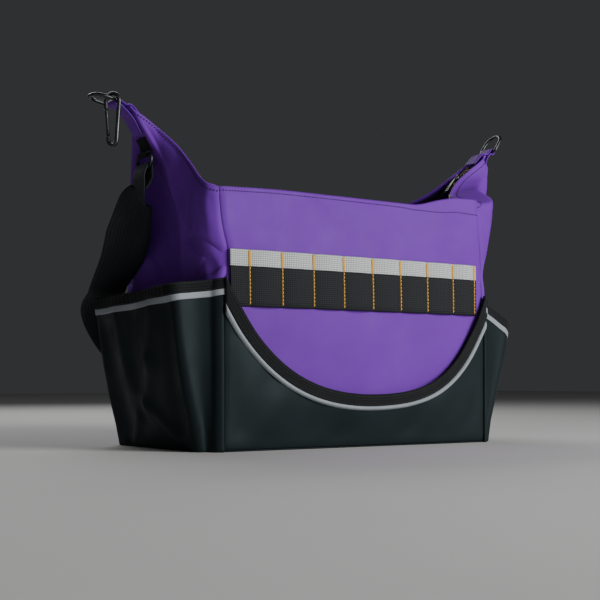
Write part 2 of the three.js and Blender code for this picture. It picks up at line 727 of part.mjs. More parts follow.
for (const [name, half] of [["front", -1], ["back", 1]]) {
  const run = zipRun(half);
  const strip = (from, to) =>
    run.map(({ edge, way, width, face }) => ({
      centre: edge.clone().addScaledVector(way, (from(width) + to(width)) / 2),
      half: (to(width) - from(width)) / 2,
      wide: way,
      face,
    }));
  const tape = strip(() => 0, (width) => width);
  addPiece(`zip_tape_${name}`, ribbon(tape, ZIP.thick), "weave");
  const teeth = strip((width) => width + TEETH.gap, (width) => width + TEETH.size);
  addPiece(`zip_teeth_${name}`, ribbon(teeth, TEETH.size), "brass");
}

// Slider on the closed stretch at the right ear, tilted along it
const sliderAt = tapePlace(-1, 1 + ZIP_CLOSE.to / 2).edge;
const beyond = tapePlace(-1, 1 + ZIP.endShare / 2).edge;
const zipSlope = Math.atan2(beyond.z - sliderAt.z, beyond.x - sliderAt.x);
const sliderFrame = new THREE.Matrix4()
  .makeTranslation(sliderAt.x + SLIDER.length / 2, 0, sliderAt.z + Math.tan(zipSlope) * (SLIDER.length / 2))
  .multiply(new THREE.Matrix4().makeRotationY(-zipSlope));
function zipSlider() {
  const low = TEETH.size / 2 + SLIDER.clear;
  const plate = new THREE.BoxGeometry(SLIDER.length, SLIDER.width, SLIDER.thick);
  plate.translate(0, 0, low + SLIDER.thick / 2);
  const bridge = new THREE.BoxGeometry(SLIDER_BRIDGE.length, SLIDER_BRIDGE.width, SLIDER_BRIDGE.height);
  bridge.translate(0, 0, low + SLIDER.thick - SLIDER_BRIDGE.sunk + SLIDER_BRIDGE.height / 2);
  return joined(plate, bridge).applyMatrix4(sliderFrame);
}
addPiece("zip_slider", zipSlider(), "metal");

const sliderTop = TEETH.size / 2 + SLIDER.clear + SLIDER.thick;
const pullPivot = vec(PULL.over - SLIDER.length / 2, 0, sliderTop + PULL.clear + PULL.thick / 2);
pullPivot.applyMatrix4(sliderFrame);
function zipPull() {
  const tab = new THREE.BoxGeometry(PULL.length, PULL.width, PULL.thick).translate(-PULL.length / 2, 0, 0);
  return tab.rotateY(-degToRad(PULL.drop)).translate(pullPivot.x, pullPivot.y, pullPivot.z);
}
addPiece("zip_pull", zipPull(), "black");

// Tabs: a strip bent along a path in the middle plane and extruded across it
function bentStrip(path, thick, width) {
  const at = (p, y) => vec(p.x, y, p.y);
  const curve = new THREE.CatmullRomCurve3(path.map((p) => at(p, 0)), false, "centripetal");
  const steps = 2 * (path.length - 1);
  const sides = range(steps + 1).map((i) => {
    const p = curve.getPoint(i / steps);
    const tangent = curve.getTangent(i / steps);
    const side = (lift) => new THREE.Vector2(p.x - tangent.z * lift, p.z + tangent.x * lift);
    return { left: side(thick / 2), right: side(-thick / 2) };
  });
  return stripSolid(
    sides.map(({ left, right }) => ({
      outer: [at(left, -width / 2), at(left, width / 2)],
      inner: [at(right, -width / 2), at(right, width / 2)],
    })),
  );
}

// Points round a bar, from one angle to another, in degrees from the outward direction
function aroundBar(centre, radius, sign, from, to) {
  return range(WRAP_STEPS + 1).map((i) => {
    const a = degToRad(lerp(from, to, i / WRAP_STEPS));
    return new THREE.Vector2(centre.x + sign * radius * Math.cos(a), centre.y + radius * Math.sin(a));
  });
}

// Most the cloth beside an ear's fold stands out past the fold, under a strip of the given half width
const FLANK = { from: 0.5, steps: 25 };
function flankRise(side, level, half) {
  const middle = Math.abs(endPoint(side, -1, 1, level).x);
  const beside = [-1, 1].flatMap((way) =>
    range(FLANK.steps).map((i) => endPoint(side, way, lerp(FLANK.from, 1, i / FLANK.steps), level)),
  );
  const covered = beside.filter((p) => Math.abs(p.y) <= half);
  return Math.max(0, ...covered.map((p) => Math.abs(p.x) - middle));
}

// A place over an ear's fold, clear of the cloth under a strip of the given half width
function onFold(side, level, lift, half) {
  const p = endPoint(side, -1, 1, level);
  const n = shellNormal(side === "right" ? 1.5 : 3.5, level);
  const out = n.x * lift + ENDS[side].sign * flankRise(side, level, half);
  return new THREE.Vector2(p.x + out, p.z + n.z * lift);
}

function ringCentre(side) {
  const { out, z } = RING_PLACE[side];
  return new THREE.Vector2(ENDS[side].sign * (HALF_LENGTH + out), z);
}

function earTab(side) {
  const { sign, mouth } = ENDS[side];
  const centre = ringCentre(side);
  const radius = RING.wire / 2 + TAB.clear + TAB.thick / 2;
  const seat = TAB.seat + TAB.thick / 2;
  const rim = (share, back, lift) =>
    new THREE.Vector2(sign * (HALF_LENGTH + mouth.out(share) - back), mouth.z(share) + lift);
  const path = [
    rim(TAB.start, 0, seat + TAB.ease),
    rim(1, TAB.tipRun, seat),
    rim(1, 0, seat),
    ...aroundBar(centre, radius, sign, TAB.wrapFrom, TAB.wrapTo),
    ...TAB.below.map((level) => onFold(side, level, seat + TAB.ease, TAB.width / 2)),
  ];
  return bentStrip(path, TAB.thick, TAB.width);
}

// D-ring in its own plane: along runs away from the bar, y across it
function ringOutline() {
  const { half, leg, corner } = RING;
  const bow = range(9).map((i) => {
    const a = (Math.PI * i) / 8;
    return { along: leg + half * Math.sin(a), y: half * Math.cos(a) };
  });
  const inner = half - corner;
  const foot = [
    { along: corner, y: -half },
    { along: 0.3 * corner, y: -half + 0.3 * corner },
    { along: 0, y: -inner },
    { along: 0, y: -0.6 * inner },
    { along: 0, y: 0.6 * inner },
    { along: 0, y: inner },
    { along: 0.3 * corner, y: half - 0.3 * corner },
    { along: corner, y: half },
  ];
  return [...bow, ...foot];
}

function ringPoint(side, { along, y }) {
  const { sign } = ENDS[side];
  const tilt = degToRad(RING_PLACE[side].tilt);
  const c = ringCentre(side);
  return vec(c.x + sign * along * Math.cos(tilt), y, c.y + along * Math.sin(tilt));
}

// Closed ring of wire through the given points
function wireLoop(points, wire, steps) {
  const curve = new THREE.CatmullRomCurve3(points, true, "centripetal");
  return new THREE.TubeGeometry(curve, steps, wire / 2, WIRE_SIDES, true);
}

for (const side of ["left", "right"]) {
  addPiece(`ear_tab_${side}`, earTab(side), "purple");
  const points = ringOutline().map((p) => ringPoint(side, p));
  addPiece(`d_ring_${side}`, wireLoop(points, RING.wire, RING.steps), "metal");
}

// Spring hook hanging on the near leg of the left D-ring: across runs toward its spine, z up
const hookSeat = ringPoint("left", { along: HOOK.alongLeg, y: -RING.half });
const hookTurn = degToRad(HOOK.turn);
const hookPoint = (across, z) =>
  vec(hookSeat.x + across * Math.cos(hookTurn), hookSeat.y + across * Math.sin(hookTurn), hookSeat.z + z);
const hookTop = RING.wire / 2 + HOOK.seat + HOOK.wire / 2;
const shoulder = hookTop - HOOK.topRadius;
const gateLine = (z) => {
  const t = (z - shoulder) / (-HOOK.footDepth - shoulder);
  return -lerp(HOOK.topRadius, HOOK.footRadius, clamp(t, 0, 1));
};

function wireRod(points, wire, steps) {
  const curve = new THREE.CatmullRomCurve3(points, false, "centripetal");
  const shape = new THREE.Shape();
  shape.absarc(0, 0, wire / 2, 0, 2 * Math.PI);
  const options = { steps, extrudePath: curve, curveSegments: 4, bevelEnabled: false };
  return new THREE.ExtrudeGeometry(shape, options);
}

function hookBody() {
  const top = range(7).map((i) => {
    const a = Math.PI * (1 - i / 6);
    return hookPoint(HOOK.topRadius * Math.cos(a), shoulder + HOOK.topRadius * Math.sin(a));
  });
  const foot = range(6).map((i) => {
    const a = (Math.PI * i) / 5;
    return hookPoint(HOOK.footRadius * Math.cos(a), -HOOK.footDepth - HOOK.footRadius * Math.sin(a));
  });
  const spine = [1 / 3, 2 / 3].map((t) =>
    hookPoint(lerp(HOOK.topRadius, HOOK.footRadius, t), lerp(shoulder, -HOOK.footDepth, t)),
  );
  const nose = hookPoint(gateLine(-HOOK.nose), -HOOK.nose);
  const hinge = hookPoint(gateLine(-HOOK.hinge), -HOOK.hinge);
  return wireRod([nose, ...top, ...spine, ...foot, hinge], HOOK.wire, HOOK.steps);
}

function hookGate() {
  const low = -HOOK.hinge + HOOK.gateGap;
  const high = -HOOK.nose - HOOK.gateGap;
  const ends = [hookPoint(gateLine(low), low), hookPoint(gateLine(high), high)];
  return wireRod(ends, HOOK.gateWire, 2);
}
addPiece("hook_body", hookBody(), "metal");
addPiece("hook_gate", hookGate(), "metal");

// What holds the shoulder strap on an end: a tab and a flat ring
function strapRingPlace(side) {
  const { level, low, out, halfWidth, wire } = STRAP_RING;
  const half = halfWidth + wire / 2;
  const top = onFold(side, level, out, 0);
  const rise = Math.max(flankRise(side, level, half), flankRise(side, low, half));
  return top.setX(top.x + ENDS[side].sign * rise);
}
function strapRing(side) {
  const top = strapRingPlace(side);
  const { halfWidth, height, wire } = STRAP_RING;
  const corner = wire;
  const low = top.y - height;
  const at = (y, z) => vec(top.x, y, z);
  const points = [-1, 1].flatMap((s) => [
    at(s * -halfWidth * 0.4, s < 0 ? top.y : low),
    at(s * -(halfWidth - corner), s < 0 ? top.y : low),
    at(s * -halfWidth, s < 0 ? top.y - corner : low + corner),
    at(s * -halfWidth, s < 0 ? low + corner : top.y - corner),
    at(s * -(halfWidth - corner), s < 0 ? low : top.y),
    at(s * -halfWidth * 0.4, s < 0 ? low : top.y),
  ]);
  return wireLoop(points, wire, STRAP_RING.steps);
}
function strapTab(side) {
  const { sign } = ENDS[side];
  const centre = strapRingPlace(side);
  const radius = STRAP_RING.wire / 2 + STRAP_TAB.clear + STRAP_TAB.thick / 2;
  const seat = STRAP_TAB.seat + STRAP_TAB.thick / 2;
  const path = [
    ...STRAP_TAB.from.map((level) => onFold(side, level, seat, STRAP_TAB.width / 2)),
    ...aroundBar(centre, radius, sign, STRAP_TAB.wrapFrom, STRAP_TAB.wrapTo),
  ];
  return bentStrip(path, STRAP_TAB.thick, STRAP_TAB.width);
}
for (const side of ["left", "right"]) {
  addPiece(`strap_ring_${side}`, strapRing(side), "metal");
  addPiece(`strap_tab_${side}`, strapTab(side), "weave");
}

// Strap: its narrow end goes over the ring's lower bar and back to the wide strap,
// which runs down and round the back
function strapLoop(side) {
  const { sign } = ENDS[side];
  const top = strapRingPlace(side);
  const bar = vec(top.x, 0, top.y - STRAP_RING.height);
  const radius = STRAP_RING.wire / 2 + STRAP_LOOP.clear + STRAP.thick / 2;
  const station = (out, z, faceOut, faceUp) => ({
    centre: vec(bar.x + sign * out, 0, bar.z + z),
    half: STRAP.neck / 2,
    wide: vec(0, 1, 0),
    face: vec(sign * faceOut, 0, faceUp).normalize(),
  });
  const { fold, bulge } = STRAP_LOOP;
  const end = station(bulge - STRAP.thick - STRAP_LOOP.clear, -fold, -1, -0.3);
  const rise = [station(-radius, -fold / 2, -1, -0.15), station(-radius, -radius, -1, 0)];
  const over = range(5).map((i) => {
    const a = (Math.PI * i) / 4;
    return station(-radius * Math.cos(a), radius * Math.sin(a), -Math.cos(a), Math.sin(a));
  });
  const fall = [station(radius + bulge / 2, -fold / 3, 1, 0.1), station(bulge, -fold, 1, -0.05)];
  return [end, ...rise, ...over, ...fall];
}

function strapHalf(side) {
  const { sign } = ENDS[side];
  const loop = strapLoop(side);
  const extra = Math.abs(strapRingPlace(side).x) - Math.abs(strapRingPlace("left").x);
  const start = loop[loop.length - 1];
  const centres = [
    start.centre,
    ...STRAP_ROUTE.map((row) => vec(sign * (HALF_LENGTH + row.out + row.carry * extra), row.y, row.z)),
  ];
  const faces = [
    start.face,
    ...STRAP_ROUTE.map((row) => vec(sign * row.faceOut, row.faceBack, row.faceUp).normalize()),
  ];
  const halves = [start.half, ...STRAP_ROUTE.map((row) => row.half)];
  const curve = new THREE.CatmullRomCurve3(centres, false, "centripetal");
  const spans = centres.length - 1;
  const steps = spans * STRAP_LOOP.stepsPerRow;
  const run = range(steps).map((i) => {
    const t = (i + 1) / steps;
    const k = Math.min(Math.floor(t * spans), spans - 1);
    const part = t * spans - k;
    const toward = faces[k].clone().lerp(faces[k + 1], part);
    const along = curve.getTangent(t);
    const wide = toward.clone().cross(along).multiplyScalar(sign).normalize();
    const face = along.clone().cross(wide).multiplyScalar(sign).normalize();
    return { centre: curve.getPoint(t), half: lerp(halves[k], halves[k + 1], part), wide, face };
  });
  return [...loop, ...run];
}

function shoulderStrap() {
  const left = strapHalf("left");
  const right = strapHalf("right").slice(0, -1).reverse();
  return ribbon([...left, ...right], STRAP.thick);
}
addPiece("shoulder_strap", shoulderStrap(), "weave");

export default bag;
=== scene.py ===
import bpy
import numpy as np
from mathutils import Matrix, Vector


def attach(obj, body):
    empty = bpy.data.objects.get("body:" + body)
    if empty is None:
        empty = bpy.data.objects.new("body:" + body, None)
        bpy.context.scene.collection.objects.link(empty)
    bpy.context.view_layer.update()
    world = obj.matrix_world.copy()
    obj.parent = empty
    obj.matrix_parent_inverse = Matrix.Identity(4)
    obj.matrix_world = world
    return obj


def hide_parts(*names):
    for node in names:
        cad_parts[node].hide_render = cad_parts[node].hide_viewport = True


# Soft insulated lunch bag: the looks of each piece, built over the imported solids.
# Tables and functions work in millimetres, meshes are in metres. +Z is up and the front faces -Y.
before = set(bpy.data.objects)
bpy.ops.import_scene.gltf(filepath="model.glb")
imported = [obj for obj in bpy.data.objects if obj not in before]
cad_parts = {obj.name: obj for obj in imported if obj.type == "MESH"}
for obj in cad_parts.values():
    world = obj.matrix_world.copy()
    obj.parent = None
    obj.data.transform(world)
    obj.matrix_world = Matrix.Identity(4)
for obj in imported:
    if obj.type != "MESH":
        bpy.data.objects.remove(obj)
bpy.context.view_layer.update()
MM = 0.001
UV_NAME = "cloth"
SIGN = {"left": -1, "right": 1}
FORWARD = np.array([0.0, -1.0, 0.0])


def table(columns, *rows):
    """Rows of a table, each holding its columns by name."""
    return [dict(zip(columns.split(), row)) for row in rows]


# Main sizes, as in the solids
HALF_LENGTH = 225
HALF_DEPTH = 125
TOP_HALF_DEPTH = 120
WALL = 3
BASE_THICK = 2.5
BASE_CORNER = 10
GAP = 0.3
WALL_FOOT = BASE_THICK + GAP
FRONT_HALF = HALF_LENGTH - BASE_CORNER
END_HALF = HALF_DEPTH - BASE_CORNER
BELLY = 5
FLARE_POWER = 4
# Share of an end's half that goes round the corner, and the step that normals are found with
ARC_SHARE = 0.12
NORMAL_STEP = 0.012
# Rings of the base from its middle to its edge, and how far each drops away from the faces
BASE_RINGS = table("share drop", (0.001, 0), (0.5, 0), (0.9, 0), (0.985, 0.1), (1, 0.8))
BASE_CORNER_STEPS = 8

# Swellings of the ends: size outward, height and spread up the wall, share and reach round from the seam
DENT = "size height spread share reach"
PUFF, LOBE, CREASE, CRUMPLE = table(
    DENT,
    (12, 0.8, 0.17, 0.24, 0.14),
    (9, 0.66, 0.22, 0.52, 0.2),
    (30, 0.68, 0.2, 1, 0.24),
    (6, 0.68, 0.05, 0.13, 0.07),
)
# Small corrections of the right end's hang, which the solids leave out
RIGHT_HANG = table(DENT, (-4, 0.855, 0.06, 0.18, 0.14), (5, 0.96, 0.05, 0.2, 0.12))
# The left front seam leans over the front where the corner's lobe swells
SEAM_LEAN = dict(size=9.5, height=0.735, spread=0.1, fade=0.2)
# Fullness of the ears just below the mouth, where the cloth folds over towards the zip
# place runs from -1 at the front seam over 0 at the middle to 1 at the back seam
EAR_FOLD = "place reach height spread size lift"
EAR_FOLDS = {
    "left": table(EAR_FOLD, (0.45, 0.2, 0.88, 0.13, 20, 0)),
    "right": table(
        EAR_FOLD,
        (-0.6, 0.36, 0.93, 0.16, 46, 30),
        (-0.3, 0.22, 0.88, 0.1, 30, 0),
        (0, 0.2, 0.88, 0.1, 20, 0),
        (0.3, 0.22, 0.88, 0.1, 30, 0),
        (0.6, 0.36, 0.93, 0.16, 46, 30),
    ),
}
# The fullness dies away from this level up
EAR_FOLD_END = 0.95
# Place of each ear's fold on the way round the bag
FOLD_TURN = {"left": 3.5, "right": 1.5}

# Upper edge of each end, from its front seam (share 0) to the ear's tip (share 1)
MOUTH_ROW = "share out half z"
MOUTH_ROWS = {
    "left": table(
        MOUTH_ROW,
        (0, -6, 120, 326),
        (0.12, 6, 109, 331),
        (0.3, 2, 72, 357),
        (0.46, 8, 45, 384),
        (0.62, 30, 18, 416),
        (0.93, 62, 14, 434),
        (1, 66, 0, 437),
    ),
    "right": table(
        MOUTH_ROW,
        (0, -16, 120, 345),
        (0.12, -13, 110, 346),
        (0.35, -10, 62, 357),
        (0.5, 12, 34, 372),
        (0.62, 46, 18, 398),
        (0.93, 102, 14, 436),
        (1, 106, 0, 439),
    ),
}
# Height of the hem along the front and back, from the left seam to the right seam
HEM_HEIGHT = table("share z", (0, 326), (0.25, 329), (0.72, 328.5), (0.84, 339), (0.91, 344), (1, 345))

# Relief of the sewn walls
FACE_GRID = dict(columns=130, rows=100, seam=0.0006)
END_GRID = dict(columns=66, rows=112, seam=0.0024)
RIM_CLOSER = 1.25
SEAM = dict(depth=2.2, width=4.5)
HEM_ROLL = dict(lift=0.3, groove=0.1, groove_width=1.0, soft=4)
FOOT_TUCK = dict(depth=2, width=6)
# Distance of the hem's stitching below the edge, along the front from its left to its right seam
HEM_STITCH = table("share below", (0, 4), (0.64, 4.5), (0.74, 7), (0.84, 17), (0.97, 21), (1, 21.5))
END_STITCH = dict(left=6, right=10)
RIPPLE = "size across up phase"
WALL_RIPPLES = table(RIPPLE, (0.55, 190, 240, 0.4), (0.4, -120, 150, 2.1), (0.25, 70, -95, 4.0))
END_RIPPLES = table(RIPPLE, (1.0, 75, 160, 1.2), (0.7, -60, 90, 0.3), (0.35, 33, -60, 2.6))
# How far from the rim and the seams ripples and creases come in; foot and full are heights
WALL_FADE = dict(rim=20, seam=25)
END_FADE = dict(rim=22, seam=25, foot=20, full=120, crease=30)
# Way round an end from its seam to its tip, and the shift of the ripples on its front half
END_ROUND = 170
FRONT_SHIFT = 40
# Folds along a line from one place to another
FOLD_LINE = "from_across from_z to_across to_z size width"
# Sharp creases of the ends: across is measured round from the seam, size inward
CRUMPLE_LINES = table(
    FOLD_LINE,
    (78, 271, 3, 239, 10, 8),
    (3, 238, 56, 216, 9, 7),
    (58, 330, 92, 226, 2.2, 8),
    (165, 205, 98, 325, 16, 15),
)
TAPER = (0.1, 0.9)
# How much of the creases shows on the front and on the back half of each end
CRUMPLED = {"left": dict(front=1, back=0.6), "right": dict(front=0.2, back=0.4)}

# Sewing thread: stitches on tapes, hems and ear tabs, and the form of one stitch along its length
THREAD = dict(length=4.2, space=1.5, radius=0.36, lift=0.15)
HEM_THREAD = dict(length=2.2, space=2.1, radius=0.65, lift=0.2)
TAB_THREAD = dict(THREAD, radius=0.22, lift=0.05)
STITCH_RISE = np.array([-0.5, 0.35, 0.6, 0.35, -0.5])
STITCH_SWELL = np.array([0.5, 0.95, 1, 0.95, 0.5])
STITCH_START = 0.15
THREAD_SIDES = 5

# Front pocket, its tape and piping
POCKET = dict(half_width=213.5, edge=215.3, foot=3.2, thick=1.8, slack=9, seam_gap=0.45, full_at=70)
POCKET_GRID = dict(columns=170, rows=56, tape_rows=8)
POCKET_RIPPLE = dict(across=1.3, up=1.2, size=1.4, edge=30, foot=30, mouth=25)
POCKET_TUCK = dict(edge=1.2, edge_width=4, foot=1.6, foot_width=6)
OVER_BAND = dict(lift=2.4, start=140, stop=178)
BINDING = dict(width=14, thick=1.6, gap=0.6, over=0.6, crown=0.3)
BINDING_ROW = dict(inset=2.2, end=3, lift=0.2, steps=240)
PIPING = dict(width=5.6, thick=3.2, flat=0.8)
CROWN_UNDER = 0.2
# Free edge of the scooped mouth: its lowest place, and what it climbs from there to each seam
# with the square and with the fourth power of the way
SCOOP = dict(middle=5, low=68.5)
SCOOP_LEFT = dict(square=67, fourth=76)
SCOOP_RIGHT = dict(square=41, fourth=94.5)
SLOPE_STEP = 2

# Woven bands with tool loops
BAND = dict(left=-206, right=200, thick=1.6, lift=3, gap=0.4, arch=0.7, steps=14, rows=8)
TOOL_BAND = dict(low=180.5, high=229.8)
GREY_BAND = dict(low=230.2, high=250)
TACKS = dict(first=-179, pitch=47.7, count=8, last=196)
TACK_PLACES = [TACKS["first"] + i * TACKS["pitch"] for i in range(TACKS["count"])] + [TACKS["last"]]
# Bar tacks: a wide satin bar on the grey band and a row of heavy stitches on the black one
SATIN = dict(half_width=1.9, step=0.8, radius=0.55, lift=0.25, end=0.5, smooth=4)
HEAVY = dict(length=3.7, space=0.9, radius=1.0, lift=0.2)
HEAVY_ROW = dict(foot=1.5, top=0.5, points=12)

# Side pockets: how far they reach out at each height, and their rim from the front to the back seam
REACH = {
    "left": table("z out", (0, 19), (30, 27), (82, 40), (143, 51), (220, 59)),
    "right": table("z out", (0, 18), (30, 26), (82, 41), (143, 57), (220, 64)),
}
RIM = {
    "left": table("share z", (0, 214), (0.24, 205), (0.76, 197), (1, 208)),
    "right": table("share z", (0, 208), (0.1, 194), (0.24, 171), (0.76, 178), (1, 204)),
}
SIDE = dict(thick=1.8, foot=0.7, floor=2, corner_half=112, corner=14, bend=0.6, pleat=2.5, seam_gap=1.2)
WRAP = dict(start=0.003, stop=0.1, ahead=0.004)
# Columns of a pocket's plan on the wall, along the gusset, round the corner and over the face
PLAN = dict(wrap=7, gusset=9, corner=9, face=64)
POCKET_COLUMNS = 2 * (PLAN["wrap"] + PLAN["gusset"] + PLAN["corner"]) + PLAN["face"]
# Spans of the same stretches in the solids, which the rim's shares follow
SOLID_SPANS = dict(wrap=2, gusset=3, corner=3, face=12)
PLAN_LEVELS = dict(top=222, count=75)
SIDE_ROWS = dict(wall=60, hem=9, strip=7, floor=8)
HEM_STITCH_ROWS = (1, 7)
ON_FACE = (0.2, 0.3)
GATHER = dict(size=1.6, waves=4, height=55)
RUFFLE = dict(size=0.7, waves=46, height=26, full=4)
# Soft folds of the side pockets: across is y, size outward
POCKET_FOLDS = table(
    FOLD_LINE,
    (-61, 192, -39, 110, 4, 15),
    (-39, 110, -12, 56, 4, 13),
    (-12, 56, -72, 14, 5, 11),
    (-98, 180, -84, 40, -5, 15),
    (-2, 180, 14, 90, -4.5, 17),
    (44, 188, 34, 96, 2.5, 11),
    (84, 150, 66, 16, -6, 24),
    (22, 40, 58, 10, 4, 10),
)
FOLD_FADE = dict(rim=34, foot=8)
SIDE_HEM = dict(height=13, thick=1.4)
REFLECTOR = dict(height=7, thick=1.2)

# Zip
ZIP = dict(drop=3.5, width=13, spare=2, thick=1.1, sag=0.35, end_share=0.8, tooth=2.4, tooth_gap=0.3, inset=1)
ZIP_CORNER = dict(reach=0.035, inset=2)
ZIP_CLOSE = dict(start=0.44, stop=0.62)
ZIP_NECK = dict(inset=3, share=0.59, reach=0.09)
# The tape hangs further down inside the slope of the left ear
ZIP_FLANK = dict(sag=1.3, share=0.27, reach=0.13)
ZIP_STATIONS = dict(corner_share=0.16, corner=9, end=34, face=62)
TOOTH = dict(pitch=3.2, length=2.0, height=2.2)
TOOTH_SECTION = np.array([[-1, -1], [-0.6, 1], [0.6, 1], [1, -1]])
TOOTH_RINGS = table("depth size", (-0.9, 0.75), (0.2, 1.0), (1.0, 0.7))
SLIDER = dict(length=15, width=10.5, thick=2.6, clear=0.45, taper=0.7, corner=2)
CROWN = dict(length=7, rise=3.1, sunk=0.3, radius=1.0, steps=13, sides=10)
PULL = dict(length=28, width=9, thick=2.2, drop=51, over=0.2, clear=0.55, taper=0.72, corner=1.8)
RIBS = dict(count=3, first=3, pitch=3.2, half=2.6, radius=0.45, sides=6)
PLATE_EDGE = 0.5
CORNER_STEPS = 6

# Ear tabs, rings and hook
STRIP = dict(rows=7, steps=6)
TAB = dict(width=22.5, thick=1.6, start=0.77, tip_run=8, clear=0.9, seat=0.75, ease=0.6, sewn=2.5)
TAB_BELOW = (0.97, 0.94, 0.925)
TAB_WRAP = dict(start=100, stop=-130, steps=7)
TAB_SEWN = (slice(0, 12), slice(-14, None))
FLANK = dict(start=0.5, stop=0.98, steps=25)
RING = dict(wire=5, half=15.5, leg=17, corner=4, bend=0.3, bar=0.6, bow_steps=9, steps=7, sides=16)
RING_PLACE = {"left": dict(out=77, z=440.5, tilt=10), "right": dict(out=117, z=446, tilt=56)}
HOOK = dict(wire=5, along=10, turn=-60, top=10, foot=6, depth=53, nose=14, hinge=48, seat=0.8, gap=0.8)
HOOK_SHOULDER = RING["wire"] / 2 + HOOK["seat"] + HOOK["wire"] / 2 - HOOK["top"]
HOOK_SHAFT = (1 / 3, 2 / 3)
HOOK_STEPS = dict(top=9, foot=8, path=6, sides=16)
GATE = dict(wire=4.2, tip=0.8, bar=0.86, collar=2, steps=15, sides=14)
RIVET = dict(radius=1.0, half=2.4, edge=0.2, above=2.2, sides=10)

# Shoulder strap
STRAP = dict(neck=30, thick=2.2, sewn=4, steps=9, rows=11)
STRAP_SEWN = slice(130, -130)
STRAP_LOOP = dict(clear=0.5, fold=30, bulge=8, steps=9)
STRAP_RING = dict(wire=4, half=19, height=16, out=5.2, level=0.872, low=0.835, bar=0.4, steps=6, sides=14)
STRAP_TAB = dict(width=24, thick=1.4, clear=0.5, seat=0.9)
STRAP_TAB_FROM = (0.915, 0.901)
STRAP_TAB_WRAP = dict(start=120, stop=-90, steps=6)
STRAP_ROUTE = table(
    "out y z half carry face_out face_back face_up",
    (40, 14, 320, 21, 1, 0.5, -0.7, -0.2),
    (42, 30, 279, 28, 0.85, 0.42, -0.71, -0.39),
    (40, 52, 250, 28, 0.6, 0.21, -0.65, -0.73),
    (34, 109, 213, 28, 0.2, -0.1, -0.5, -0.7),
    (26, 147, 186, 28, 0.07, 0.1, -0.8, -0.6),
    (-6, 152, 138, 28, 0, 0.1, -1, -0.1),
    (-75, 140, 84, 28, 0, 0, -1, 0),
    (-225, 131, 50, 28, 0, 0, -1, 0),
)

# Camera, light and floor, in metres and watts
CAMERA = dict(place=(-0.970, -1.389, 0.089), forward=(0.566, 0.824, 0.0), lens=72, sensor=36, shift_y=0.133)
LIGHTS = table(
    "name place size power",
    ("key", (1.0, -2.1, 0.95), (1.2, 1.2), 60),
    ("fill", (-2.2, -0.6, 1.2), (1.6, 1.6), 1.3),
    ("back", (0.2, 1.8, 1.6), (1.6, 1.0), 22),
)
LIGHT_AIM = (0, 0, 0.2)
SKY = dict(colour=(0.8, 0.82, 0.85, 1), strength=0.045)
FLOOR = dict(size=12, colour=(0.62, 0.61, 0.6), lighter=1.04)

# Guards against division by nothing, and a direction that few paths run along
TINY = 1e-9
SHORTEST_SPAN = 1e-4
HELPER = np.array([0.31, 0.87, 0.39])
NEARLY_ALONG = 0.9


# Numbers and curves
def bell(value, middle, spread):
    return np.exp(-(((value - middle) / spread) ** 2))


def ease(start, stop, value):
    t = np.clip((value - start) / (stop - start), 0, 1)
    return t * t * (3 - 2 * t)


def mix(a, b, t):
    return a + (b - a) * t


def unit(v):
    v = np.asarray(v, dtype=float)
    return v / np.maximum(np.linalg.norm(v, axis=-1, keepdims=True), TINY)


def values(rows, key):
    return np.array([row[key] for row in rows], dtype=float)


def column(rows, at, key):
    """Smooth function through one column of a table, which never overshoots its rows."""
    x = values(rows, at)
    y = values(rows, key)
    step = np.diff(x)
    rise = np.diff(y) / step
    slope = np.empty(len(x))
    slope[0], slope[-1] = rise[0], rise[-1]
    for i in range(1, len(x) - 1):
        before, after = rise[i - 1], rise[i]
        a = 2 * step[i] + step[i - 1]
        b = step[i] + 2 * step[i - 1]
        slope[i] = 0 if before * after <= 0 else (a + b) / (a / before + b / after)

    def at_value(value):
        v = np.clip(np.asarray(value, dtype=float), x[0], x[-1])
        k = np.clip(np.searchsorted(x, v, side="right") - 1, 0, len(x) - 2)
        t = (v - x[k]) / step[k]
        a = y[k] * (1 + 2 * t) * (1 - t) ** 2 + slope[k] * step[k] * t * (1 - t) ** 2
        b = y[k + 1] * t * t * (3 - 2 * t) + slope[k + 1] * step[k] * t * t * (t - 1)
        return a + b

    return at_value


def smooth_path(points, steps_per_span, closed=False):
    """Centripetal curve through points."""
    p = np.asarray(points, dtype=float)
    if closed:
        knots = np.concatenate([p[-1:], p, p[:2]])
    else:
        knots = np.concatenate([2 * p[:1] - p[1:2], p, 2 * p[-1:] - p[-2:-1]])
    made = []
    for i in range(len(knots) - 3):
        a, b, c, d = knots[i : i + 4]
        t1, t2, t3 = np.cumsum([max(np.linalg.norm(w) ** 0.5, SHORTEST_SPAN) for w in (b - a, c - b, d - c)])
        t = np.linspace(t1, t2, steps_per_span, endpoint=False)[:, None]
        ab = (t1 - t) / t1 * a + t / t1 * b
        bc = (t2 - t) / (t2 - t1) * b + (t - t1) / (t2 - t1) * c
        cd = (t3 - t) / (t3 - t2) * c + (t - t2) / (t3 - t2) * d
        abc = (t2 - t) / t2 * ab + t / t2 * bc
        bcd = (t3 - t) / (t3 - t1) * bc + (t - t1) / (t3 - t1) * cd
        made.append((t2 - t) / (t2 - t1) * abc + (t - t1) / (t2 - t1) * bcd)
    if not closed:
        made.append(p[-1:])
    return np.concatenate(made)


def path_length(points):
    return np.concatenate([[0], np.cumsum(np.linalg.norm(np.diff(points, axis=0), axis=1))])


def between_rows(at, places, rows):
    """Rows of three numbers, read between the given places."""
    return np.stack([np.interp(at, places, rows[:, k]) for k in range(3)], -1)


def along_path(points, directions, distance):
    """Points and directions of a path at given distances along it."""
    run = path_length(points)
    return between_rows(distance, run, points), between_rows(distance, run, directions)


# Shape of the bag
def mouth_curves(rows):
    return {key: column(rows, "share", key) for key in ("out", "half", "z")}


